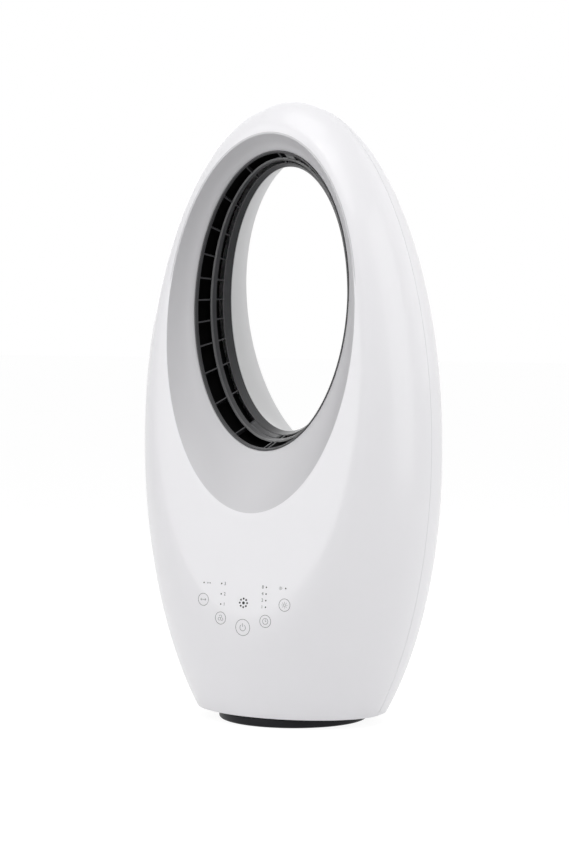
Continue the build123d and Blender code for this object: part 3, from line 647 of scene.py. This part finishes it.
def add_slot(bm, inlet, x, z):
    """Bar that cuts one slot of the inlet, rounded along its length."""
    behind, depth = SLOT_CUTTER
    size = Matrix.Diagonal((inlet.slot_length, depth, inlet.slot_height, 1))
    place = Matrix.Translation((x, SEAM_Y + behind, z))
    bar = bmesh.ops.create_cube(bm, size=1.0, matrix=place @ size)["verts"]
    edges = {e for v in bar for e in v.link_edges}
    along = [e for e in edges if abs((e.verts[0].co - e.verts[1].co).y) > depth / 2]
    width = inlet.slot_height * SLOT_ROUND
    bmesh.ops.bevel(
        bm, geom=along, offset=width, segments=3, profile=0.5, affect="EDGES", material=-1
    )


def back_cutters(inlet):
    """Slots of the inlet, the wells of the shell screws and the cord's recess."""
    bm = bmesh.new()
    rows = int(inlet.half_height // inlet.pitch_z)
    for row in range(-rows, rows + 1):
        rise = row * inlet.pitch_z
        reach = inlet.half_width * sqrt(1 - (rise / inlet.half_height) ** 2)
        slots = max(1, int(2 * reach // inlet.pitch_x))
        for n in range(slots):
            x = (n - (slots - 1) / 2) * inlet.pitch_x
            add_slot(bm, inlet, x, inlet.centre_z + rise)
    behind, depth = WELL_CUTTER
    for x, z in screw_places():
        add_bar(bm, (x, SEAM_Y + behind, z), WELL_BORE, depth, WELL_SEGMENTS)
    low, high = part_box("cord_gland")
    radius, recess = CORD_RECESS
    middle = (0, high[1] - recess + CORD_CUTTER / 2, (low[2] + high[2]) / 2)
    add_bar(bm, middle, radius, CORD_CUTTER, 48)
    face_out(bm)
    return bm


def screw_places():
    """Middles of the shell screws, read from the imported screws' points."""
    screws = []
    for vert in frame["nodes"]["shell_screws"].data.vertices:
        x, _, z = vert.co
        near = (s for s in screws if hypot(s[0][0] - x, s[0][1] - z) < SCREW_SPREAD)
        screw = next(near, None)
        if screw is None:
            screws.append(screw := [])
        screw.append((x, z))
    return [tuple((min(line) + max(line)) / 2 for line in zip(*screw)) for screw in screws]


class FAN_OT_shells(Operator):
    """Glossy shells: the front one with its flat face, the rear one with slots and wells"""

    bl_idname = "fan.shells"
    bl_label = "Shells"

    def execute(self, context):
        housing = context.scene.fan_housing
        front_rim, rear_rim = partial(section_point, BEZEL_RIM), partial(rear_hole, housing)
        add_shell("front_shell_skin", "front_shell", housing, -1, front_rim, front_y)
        rear = add_shell("rear_shell_skin", "rear_shell", housing, 1, rear_rim, rear_depth)
        cutters = to_mesh("back_cutters", back_cutters(context.scene.fan_inlet))
        cutter = link_object("back_cutters", cutters)
        cut = rear.modifiers.new("slots", "BOOLEAN")
        cut.operation = "DIFFERENCE"
        cut.solver = "EXACT"
        cut.object = cutter
        context.view_layer.update()
        freeze(rear)
        bpy.data.objects.remove(cutter)
        return {"FINISHED"}


def screw_wells(housing):
    """Bosses around the shell screws."""
    bore, outside = WELL_RADII
    whole = bmesh.new()
    for x, z in screw_places():

        def shape(turn, row):
            radius = outside if row in (1, 2) else bore
            across, up = x + radius * cos(turn), z + radius * sin(turn)
            y = WELL_START if row < 2 else rear_depth(housing, across, up) - WELL_SINK
            return Vector((across, SEAM_Y + y, up))

        well = shaped_tube(4, WELL_SEGMENTS, shape)
        wrap(well)
        join(whole, well)
    return whole


def seam_tongue(housing):
    """Tongue behind the seam, cut level over the skirt's edge."""
    inset = housing.wall * TONGUE_INSET

    def shape(turn, row):
        x, _, z = outline(housing, turn, inset + (TONGUE_WALL if row in (2, 3) else 0.0))
        return Vector((x, SEAM_Y + (-TONGUE_REACH if row in (0, 3) else TONGUE_REACH), z))

    bm = shaped_tube(4, housing.segments, shape)
    wrap(bm)
    ends = cut_away(bm, (0, 0, SKIRT_Z + TONGUE_RISE), (0, 0, -1))
    for side in (1, -1):
        end = [edge for edge in ends if edge.verts[0].co.x * side > 0]
        bmesh.ops.contextual_create(bm, geom=end)
    return bm


class FAN_OT_shell_joints(Operator):
    """Bosses around the shell screws, seen through their wells, and the tongue behind the seam"""

    bl_idname = "fan.shell_joints"
    bl_label = "Screw wells and seam tongue"

    def execute(self, context):
        housing = context.scene.fan_housing
        for name, bm in (
            ("screw_wells", screw_wells(housing)),
            ("seam_tongue", seam_tongue(housing)),
        ):
            face_out(bm)
            add_piece(name, bm, "gloss_white")
        return {"FINISHED"}


# ---- air ring ----
# Shares of the outlet's depth, from the bezel's edge (0) to the throat (1).
RING_SPANS = ((0.03, 0.11), (0.484, 0.6), (0.79, 1.0))
LIP_SPAN = (0.455, 0.487)
RIB_SHARES = (0.08, 0.25, 0.5, 0.7, 0.85)
DUCT_SHARES = (0.10, 0.5, 0.9)
RING_STEP = 0.03
RING_INSET = 0.0002
LIP_PROUD = 0.0004
LOWEST_RIB = 270.0  # polar angle, in degrees
RIB_PAIR = 0.9  # the lowest rib is two, this far to each side
RIB_START = 0.0006
# Closed places of the outlet: name, polar angles in degrees, shares of the depth, finish.
PLATES = (
    ("outlet_closing", (255.0, 269.1), (0.59, 0.80), "outlet_black"),
    ("outlet_block", (83.2, 87.2), (0.11, 0.46), "lip_black"),
)
PLATE_OUT = 0.0012
DUCT_WALL = 0.0012
DUCT_SEGMENTS = 128
BEZEL_GAP = 0.0003
BEZEL_STEPS = 20
ROLL_STEPS = 8
BEZEL_ROUND = 0.0005
RING_ROUND = 0.0004
RIB_ROUND = 0.0002


def oval_wall(sections, wall, segments, start=0.0):
    """Closed oval ring through sections: an inner skin, and an outer one a wall further out."""
    points = [(s, start) for s in sections] + [(s, start + wall) for s in reversed(sections)]

    def shape(turn, row):
        section, out = points[row]
        return section_point(section, turn, out)

    bm = shaped_tube(len(points), segments, shape)
    wrap(bm)
    merge(bm)
    face_out(bm)
    return bm


def curve_through(first, middle, last, share):
    """Section on the smooth curve through three sections."""
    weights = (2 * share - 1) * (share - 1), 4 * share * (1 - share), share * (2 * share - 1)
    return tuple(sum(w * v for w, v in zip(weights, line)) for line in zip(first, middle, last))


def grown(section, out):
    """Section made larger by out metres all round."""
    return (section[0] + out, section[1] + out) + section[2:]


def roll_start(ring):
    """Share of the bezel's width at which it starts to roll into the outlet."""
    return 1 - ring.roll_width / (BEZEL_RIM[0] - BEZEL_EDGE[0])


def bezel_section(ring, share):
    """Section of the dished bezel, whose end rolls into the outlet in a quarter oval."""
    rim = grown(BEZEL_RIM, -BEZEL_GAP)
    edge = grown(BEZEL_EDGE, ring.edge_out)
    middle = list(between(rim, edge, 0.5))
    middle[3] += ring.dish
    section = list(curve_through(rim, middle, edge, share))
    start = roll_start(ring)
    turned = max(0.0, (share - start) / (1 - start))
    section[3] += ring.roll_depth * (1 - sqrt(max(0.0, 1 - turned ** 2)))
    return section


def front_bezel(ring):
    """Dished funnel that rolls into the outlet."""
    start = roll_start(ring)
    shares = [start * n / BEZEL_STEPS for n in range(BEZEL_STEPS)]
    for n in range(ROLL_STEPS + 1):
        shares.append(start + (1 - start) * sin(pi / 2 * n / ROLL_STEPS))
    sections = [bezel_section(ring, share) for share in shares]
    return oval_wall(sections, ring.bezel_wall, ring.segments)


def rear_bezel(ring, housing):
    """Funnel to the back; its skins end where each comes out of the rear shell."""

    def shape(turn, row):
        inside = row <= BEZEL_STEPS
        share = (row if inside else 2 * BEZEL_STEPS + 1 - row) / BEZEL_STEPS
        out = 0.0 if inside else ring.bezel_wall
        end = funnel_end(housing, turn, out)
        place = section_point(between(THROAT, REAR_RIM, end * share), turn, out)
        if share == 0.0:
            place.y += 2 * BEZEL_GAP
        return place

    bm = shaped_tube(2 * BEZEL_STEPS + 2, ring.segments, shape)
    wrap(bm)
    face_out(bm)
    return bm


class FAN_OT_bezels(Operator):
    """Grey funnel from the face to the outlet, and the light grey one to the back"""

    bl_idname = "fan.bezels"
    bl_label = "Bezels"

    def execute(self, context):
        ring, housing = context.scene.fan_ring, context.scene.fan_housing
        for name, node, finish, bm in (
            ("front_bezel_skin", "front_bezel", "bezel_grey", front_bezel(ring)),
            ("rear_bezel_skin", "rear_bezel", "rear_grey", rear_bezel(ring, housing)),
        ):
            piece = add_piece(name, bm, finish, replaces=(node,))
            round_edges(piece, BEZEL_ROUND)
        return {"FINISHED"}


def outlet_section(share):
    return between(BEZEL_EDGE, THROAT, share)


def outlet_point(share, polar, out):
    """Point of the outlet at a share of its depth and a polar angle."""
    section = outlet_section(share)
    turn = atan2(sin(polar) / section[1], cos(polar) / section[0])
    return section_point(section, turn, out)


def outlet_band(ring, span, inset):
    """One band of the outlet between two shares of its depth."""
    start, end = span
    steps = 2 + round((end - start) / RING_STEP)
    shares = [start + (end - start) * n / steps for n in range(steps + 1)]
    sections = [outlet_section(share) for share in shares]
    return oval_wall(sections, ring.wall - inset, ring.segments, inset)


def add_rib(bm, ring, polar):
    """Rib in a plane through the ring's axis at one polar angle."""
    near = [outlet_point(share, polar, RIB_START) for share in RIB_SHARES]
    far = [outlet_point(share, polar, ring.rib_depth) for share in RIB_SHARES]
    verts = [bm.verts.new(point) for point in near + far[::-1]]
    face = bm.faces.new(verts)
    side = Vector((-sin(polar), 0, cos(polar))) * ring.rib_width
    moved = only(bmesh.types.BMVert, bmesh.ops.extrude_face_region(bm, geom=[face])["geom"])
    bmesh.ops.translate(bm, verts=moved, vec=side)
    bmesh.ops.translate(bm, verts=moved + verts, vec=-side / 2)


def outlet_plate(ends, shares):
    """Patch that closes a slot between two polar angles and two shares of the depth."""
    bm = bmesh.new()
    for vert in bmesh.ops.create_grid(bm, x_segments=10, y_segments=3, size=0.5)["verts"]:
        polar = radians(ends[0] + (ends[1] - ends[0]) * (vert.co.x + 0.5))
        share = shares[0] + (shares[1] - shares[0]) * (vert.co.y + 0.5)
        vert.co = outlet_point(share, polar, PLATE_OUT)
    return bm


def air_duct(ring):
    """Dark duct behind the outlet's slots: it stands for the dark inner parts and is made near
    black as painted shade in the slots.
    """
    sections = [outlet_section(share) for share in DUCT_SHARES]
    bm = oval_wall(sections, DUCT_WALL, DUCT_SEGMENTS)
    for vert in bm.verts:
        middle = Vector((0, vert.co.y, THROAT[2]))
        vert.co += (vert.co - middle).normalized() * ring.duct_depth
    face_out(bm)
    return bm


class FAN_OT_outlet(Operator):
    """Black outlet: three rings with a lip, ribs and closed places, and the dark duct behind, near
    black as painted shade in the slots
    """

    bl_idname = "fan.outlet"
    bl_label = "Outlet"

    def execute(self, context):
        ring = context.scene.fan_ring
        rings = bmesh.new()
        for span in RING_SPANS:
            join(rings, outlet_band(ring, span, RING_INSET))
        piece = add_piece(
            "outlet_rings", rings, "outlet_black", replaces=("outlet_grille",)
        )
        round_edges(piece, RING_ROUND)
        # Bead of the lip, in the lighter grey that paints the highlight on its edge.
        lip = outlet_band(ring, LIP_SPAN, -LIP_PROUD)
        round_edges(add_piece("outlet_lip", lip, "lip_black"), BEZEL_ROUND)
        ribs = bmesh.new()
        turns = [360.0 * n / ring.rib_count for n in range(ring.rib_count)]
        turns = [turn for turn in turns if turn != LOWEST_RIB]
        for turn in (*turns, LOWEST_RIB - RIB_PAIR, LOWEST_RIB + RIB_PAIR):
            add_rib(ribs, ring, radians(turn))
        face_out(ribs)
        round_edges(add_piece("outlet_ribs", ribs, "outlet_black"), RIB_ROUND, 2)
        for name, ends, shares, finish in PLATES:
            plate = add_piece(name, outlet_plate(ends, shares), finish)
            thicken(plate, ring.rib_width, offset=0.0, even=False)
        # Near-black duct that paints the shade inside the outlet's slots.
        add_piece("air_duct", air_duct(ring), "duct_black")
        return {"FINISHED"}


# ---- foot ----
FOOT_LIP = 0.0015  # how far the wall's inside stands up from the underside
PLATE_RADIUS = 0.05  # points that divide the flat top
POST_ROOT = 0.016
POST_RADIUS = 0.014
POST_BORE = 0.009
POST_HEIGHT = 0.0185


def corner(r, z, radius, start, steps):
    """Points of a quarter circle from a start angle in degrees."""
    turns = [radians(start + 90 * n / steps) for n in range(steps + 1)]
    return [(r + radius * cos(turn), z + radius * sin(turn)) for turn in turns]


class FAN_OT_foot(Operator):
    """Round black foot with a rounded lower edge and the swing post"""

    bl_idname = "fan.foot"
    bl_label = "Foot"

    def execute(self, context):
        foot = context.scene.fan_foot
        low, edge, top_edge = foot.low_z, foot.edge, foot.top_edge
        floor, post_top = low + FOOT_LIP, FOOT_TOP + POST_HEIGHT
        inside = foot.radius - edge - foot.wall
        profile = [
            (inside, floor),
            (inside, low),
            *corner(foot.radius - edge, low + edge, edge, -90, 8),
            *corner(foot.radius - top_edge, FOOT_TOP - top_edge, top_edge, 0, 4),
            *((r, FOOT_TOP) for r in (PLATE_RADIUS, POST_ROOT, POST_RADIUS)),
            (POST_RADIUS, post_top),
            (POST_BORE, post_top),
            (POST_BORE, floor),
        ]
        bm = bmesh.new()
        verts = [bm.verts.new((r, 0, z)) for r, z in profile]
        edges = [bm.edges.new(pair) for pair in zip(verts, verts[1:] + verts[:1])]
        spin(bm, verts + edges, 2 * pi, foot.segments)
        merge(bm)
        face_out(bm)
        add_piece("foot_disc", bm, "foot_black", body="base", replaces=("base_foot",))
        return {"FINISHED"}


# ---- touch panel ----
# Places on the front, as x and z in metres.
SPEED_DOTS = (-0.0257, (0.1384, 0.1286, 0.1190))
TIMER_DOTS = (0.0233, (0.1375, 0.1313, 0.1252, 0.1190))
SWING_DOT = (-0.0453, 0.1382)
LIGHT_DOT = (0.0441, 0.1377)
STATUS_PLACE = (-0.0008, 0.1216)
STATUS_RADIUS = 0.0040
STATUS_DOTS = 8
STATUS_DOT = 1.3  # size against an indicator dot
STATUS_MIDDLE = 1.9
FIGURE_GAP = 0.0038
FIGURE_TYPE = 1.35  # type size against the height of a figure
SMALL_SIGN = 0.6
SMALL_SIGN_GAP = 0.0055
SIGN_STROKE = 0.00034


class Ink:
    """Flat printed marks, drawn in the XZ plane as strips and discs."""

    def __init__(self, stroke):
        self.bm = bmesh.new()
        self.stroke = stroke

    def disc(self, x, z, radius):
        made = bmesh.ops.create_circle(self.bm, cap_ends=True, segments=20, radius=radius)["verts"]
        stand(self.bm, made, (x, 0, z))

    def ring(self, x, z, radius, start=0.0, end=360.0, steps=48, width=None):
        """Arc of a ring: two points turned about its middle."""
        before = set(self.bm.verts)
        half = (width or self.stroke) / 2
        c, s = cos(radians(start)), sin(radians(start))
        ends = [self.bm.verts.new((r * c, r * s, 0)) for r in (radius - half, radius + half)]
        spin(self.bm, [*ends, self.bm.edges.new(ends)], radians(end - start), steps)
        stand(self.bm, [v for v in self.bm.verts if v not in before], (x, 0, z))

    def line(self, x0, z0, x1, z1, width=None):
        """Strip between two points."""
        along = Vector((x1 - x0, 0, z1 - z0))
        across = Vector((-along.z, 0, along.x)).normalized() * (width or self.stroke)
        made = bmesh.ops.create_grid(self.bm, x_segments=2, y_segments=1, size=0.5)["verts"]
        for vert in made:
            vert.co = Vector((x0, 0, z0)) + along * (vert.co.x + 0.5) + across * vert.co.y

    def figure(self, text, x, z, height):
        """Figure of the built-in typeface, made a mesh before it is placed."""
        curve = bpy.data.curves.new("figure", "FONT")
        curve.body = text
        curve.size = height * FIGURE_TYPE
        curve.align_x = curve.align_y = "CENTER"
        holder = link_object("figure", curve)
        bpy.context.view_layer.update()
        mesh = final_mesh(holder)
        mesh.transform(Matrix.Translation((x, 0, z)) @ QUARTER_ABOUT_X)
        self.bm.from_mesh(mesh)
        bpy.data.meshes.remove(mesh)
        bpy.data.objects.remove(holder)
        bpy.data.curves.remove(curve)


def sign_power(ink, x, z):
    """Open ring with a stem."""
    ink.ring(x, z - 0.0002, 0.0030, start=125, end=415, steps=28)
    ink.line(x, z + 0.0006, x, z + 0.0040)


def sign_swing(ink, x, z, size=1.0):
    """Arrow that points both ways."""
    reach, back, up = 0.0030 * size, 0.0012 * size, 0.0011 * size
    ink.line(x - reach, z, x + reach, z, SIGN_STROKE)
    for side in (-1, 1):
        tip = x + side * reach
        for rise in (up, -up):
            ink.line(tip, z, tip - side * back, z + rise, SIGN_STROKE)


def sign_speed(ink, x, z):
    """Propeller of three open loops."""
    for degrees in (90, 210, 330):
        turn = radians(degrees)
        middle = (x + 0.0016 * cos(turn), z + 0.0016 * sin(turn))
        ink.ring(*middle, 0.0013, degrees - 150, degrees + 90, 20, SIGN_STROKE)
    ink.disc(x, z, 0.0005)


def sign_timer(ink, x, z):
    """Clock face with two hands."""
    ink.ring(x, z, 0.0028, width=SIGN_STROKE, steps=36)
    ink.line(x, z, x, z + 0.0019, SIGN_STROKE)
    ink.line(x, z, x + 0.0013, z, SIGN_STROKE)


def sign_light(ink, x, z, size=1.0):
    """Sun with eight rays."""
    ink.ring(x, z, 0.0012 * size, width=SIGN_STROKE, steps=24)
    near, far = 0.0020 * size, 0.0031 * size
    for n in range(8):
        c, s = cos(pi / 4 * n), sin(pi / 4 * n)
        ink.line(x + near * c, z + near * s, x + far * c, z + far * s, SIGN_STROKE)


# Touch circles: x, z and sign.
KEYS = (
    (-0.0453, 0.1222, sign_swing),
    (-0.0254, 0.1058, sign_speed),
    (-0.0006, 0.0985, sign_power),
    (0.0236, 0.1058, sign_timer),
    (0.0435, 0.1222, sign_light),
)


def panel_marks(panel):
    """Touch circles with their signs, and the figures and small signs of the dots."""
    ink = Ink(panel.stroke)
    for x, z, sign in KEYS:
        ink.ring(x, z, panel.power_key if sign is sign_power else panel.key, steps=56)
        sign(ink, x, z)
    for (x, heights), figures, side in ((SPEED_DOTS, "321", 1), (TIMER_DOTS, "8421", -1)):
        for z, text in zip(heights, figures):
            ink.figure(text, x + side * FIGURE_GAP, z, panel.figure)
    sign_swing(ink, SWING_DOT[0] + SMALL_SIGN_GAP, SWING_DOT[1], SMALL_SIGN)
    sign_light(ink, LIGHT_DOT[0] - SMALL_SIGN_GAP, LIGHT_DOT[1], SMALL_SIGN)
    return ink.bm


def panel_dots(panel):
    """Indicator dots and the status lamp's ring of dots."""
    ink = Ink(panel.stroke)
    rows = [(x, z) for x, heights in (SPEED_DOTS, TIMER_DOTS) for z in heights]
    for x, z in (*rows, SWING_DOT, LIGHT_DOT):
        ink.disc(x, z, panel.dot)
    x, z = STATUS_PLACE
    ink.disc(x, z, panel.dot * STATUS_MIDDLE)
    for n in range(STATUS_DOTS):
        turn = 2 * pi * n / STATUS_DOTS
        across, up = STATUS_RADIUS * cos(turn), STATUS_RADIUS * sin(turn)
        ink.disc(x + across, z + up, panel.dot * STATUS_DOT)
    return ink.bm


def print_marks(scene, name, bm, finish):
    """Lay the flat marks on the shell with a thin, closed body."""
    face_out(bm)
    merge(bm, 1e-6)
    for face in bm.faces:
        if face.normal.y > 0:
            face.normal_flip()
    raised = bmesh.ops.extrude_face_region(bm, geom=bm.faces[:])["geom"]
    front = set(only(bmesh.types.BMVert, raised))
    for vert in bm.verts:
        depth = SEAM_Y + front_y(scene.fan_housing, vert.co.x, vert.co.z)
        proud = scene.fan_panel.proud
        vert.co.y = depth - proud if vert in front else depth + proud
    face_out(bm)
    add_piece(name, bm, finish)


class FAN_OT_panel(Operator):
    """Printed circles, dots and signs of the touch panel"""

    bl_idname = "fan.panel"
    bl_label = "Panel marks"

    def execute(self, context):
        panel = context.scene.fan_panel
        print_marks(context.scene, "panel_marks", panel_marks(panel), "ink_grey")
        print_marks(context.scene, "panel_dots", panel_dots(panel), "ink_dark")
        return {"FINISHED"}


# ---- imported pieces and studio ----
FLOOR_SIZE = 14.0
FLOOR_GLOW = 1.16
FLOOR_WHITE = 0.80  # share of it in rays straight, off gloss or through
WHITE = (1.0, 1.0, 1.0)


class FAN_OT_finishes(Operator):
    """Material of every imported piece, by its slot"""

    bl_idname = "fan.finishes"
    bl_label = "Finishes"

    def execute(self, context):
        FINISHES.update(make_finishes(context.scene.fan_finish))
        slots = {p["node"]: p["material_slot"] for p in frame["record"]["subparts"]}
        for node, piece in frame["nodes"].items():
            piece.data.materials.clear()
            piece.data.materials.append(FINISHES[slots[node]])
        return {"FINISHED"}


def aim(target, distance, azimuth, elevation, roll=0.0):
    """Matrix that looks at a target; in radians, the azimuth to the right of the front."""
    flat = distance * cos(elevation)
    away = Vector((flat * sin(azimuth), -flat * cos(azimuth), distance * sin(elevation)))
    place = target + away
    turn = (target - place).to_track_quat("-Z", "Y").to_matrix().to_4x4()
    return Matrix.Translation(place) @ turn @ Matrix.Rotation(roll, 4, "Z")


def add_camera(scene, studio, middle):
    camera = link_object("camera", bpy.data.cameras.new("camera"))
    camera.data.lens = studio.lens
    camera.data.shift_x = studio.shift_x
    camera.data.shift_y = studio.shift_y
    camera.data.clip_start = 0.05
    camera.data.clip_end = 60.0
    view = (studio.distance, studio.azimuth, studio.elevation, studio.roll)
    camera.matrix_world = aim(middle, *view)
    scene.camera = camera


def add_lamps(studio, middle):
    # Name, power, width and height in metres, distance, azimuth and elevation in degrees.
    lamps = (
        ("key", studio.key_power, 1.2, 1.4, 2.0, -35, 32),
        ("low", studio.low_power, 1.0, 0.6, 2.0, -20, 4),
        ("high", studio.high_power, 1.0, 1.0, 2.0, 50, 55),
        ("strip", studio.strip_power, 0.9, 1.6, 1.7, 95, 14),
        ("top", studio.top_power, 1.0, 1.0, 1.7, 10, 78),
        ("back_right", studio.back_power, 1.0, 1.4, 1.8, 140, 25),
        ("back_left", studio.back_power * 2, 1.0, 1.4, 1.8, 215, 25),
    )
    for name, energy, width, height, distance, azimuth, elevation in lamps:
        data = bpy.data.lights.new(name, "AREA")
        data.shape = "RECTANGLE"
        data.size, data.size_y = width, height
        data.energy = energy
        matrix = aim(middle, distance, radians(azimuth), radians(elevation))
        link_object(name, data).matrix_world = matrix


def add_floor():
    """Wide floor that reads white and keeps the fan's shadow."""
    bm = bmesh.new()
    bmesh.ops.create_grid(bm, x_segments=8, y_segments=8, size=FLOOR_SIZE)
    mesh = to_mesh("floor", bm)
    floor = link_object("floor", mesh)
    finish = Finish("floor_white")
    grain = finish.noise(30.0, 2.0)
    finish.paint(WHITE, grain, (0.86, 0.88), 0.9 - grain * 0.1)
    glow = finish.node("ShaderNodeEmission", None, {"Strength": FLOOR_GLOW})
    finish.show_white(finish.shader, glow, FLOOR_WHITE)
    mesh.materials.append(finish.material)


def add_world(scene, studio):
    """Even studio light that the camera sees as white."""
    scene.world = bpy.data.worlds.new("studio")
    scene.world.use_nodes = True
    nodes = Nodes(scene.world.node_tree, "ShaderNodeOutputWorld")
    light, white = (
        nodes.node("ShaderNodeBackground", None, {"Color": WHITE, "Strength": strength})
        for strength in (studio.world, 1.0)
    )
    nodes.show_white(light, white)


class FAN_OT_studio(Operator):
    """White floor, soft lamps and the camera"""

    bl_idname = "fan.studio"
    bl_label = "Studio"

    def execute(self, context):
        scene = context.scene
        studio = scene.fan_studio
        middle = Vector((0, SEAM_Y, studio.target_z))
        add_floor()
        add_world(scene, studio)
        add_camera(scene, studio, middle)
        add_lamps(studio, middle)
        scene.view_settings.view_transform = "Standard"
        return {"FINISHED"}


class FAN_PT_pieces(Panel):
    """Buttons and settings of the bladeless fan"""

    bl_idname = "FAN_PT_pieces"
    bl_label = "Bladeless fan"
    bl_space_type = "VIEW_3D"
    bl_region_type = "UI"
    bl_category = "Fan"

    def draw(self, context):
        for operator in OPERATORS:
            self.layout.operator(operator.bl_idname)
        for name in GROUPS:
            box = self.layout.box()
            settings = getattr(context.scene, name)
            for key in settings.__annotations__:
                box.prop(settings, key)


GROUPS = {
    "fan_housing": FanHousingSettings,
    "fan_ring": FanRingSettings,
    "fan_inlet": FanInletSettings,
    "fan_foot": FanFootSettings,
    "fan_panel": FanPanelSettings,
    "fan_finish": FanFinishSettings,
    "fan_studio": FanStudioSettings,
}
OPERATORS = (
    FAN_OT_finishes,
    FAN_OT_shells,
    FAN_OT_shell_joints,
    FAN_OT_bezels,
    FAN_OT_outlet,
    FAN_OT_foot,
    FAN_OT_panel,
    FAN_OT_studio,
)
CLASSES = (*GROUPS.values(), *OPERATORS, FAN_PT_pieces)


def register():
    for cls in CLASSES:
        bpy.utils.register_class(cls)
    for name, cls in GROUPS.items():
        setattr(bpy.types.Scene, name, PointerProperty(type=cls))


def unregister():
    for name in GROUPS:
        delattr(bpy.types.Scene, name)
    for cls in reversed(CLASSES):
        bpy.utils.unregister_class(cls)


def main():
    register()
    for operator in OPERATORS:
        getattr(bpy.ops.fan, operator.bl_idname.removeprefix("fan."))()


if __name__ == "__main__":
    main()
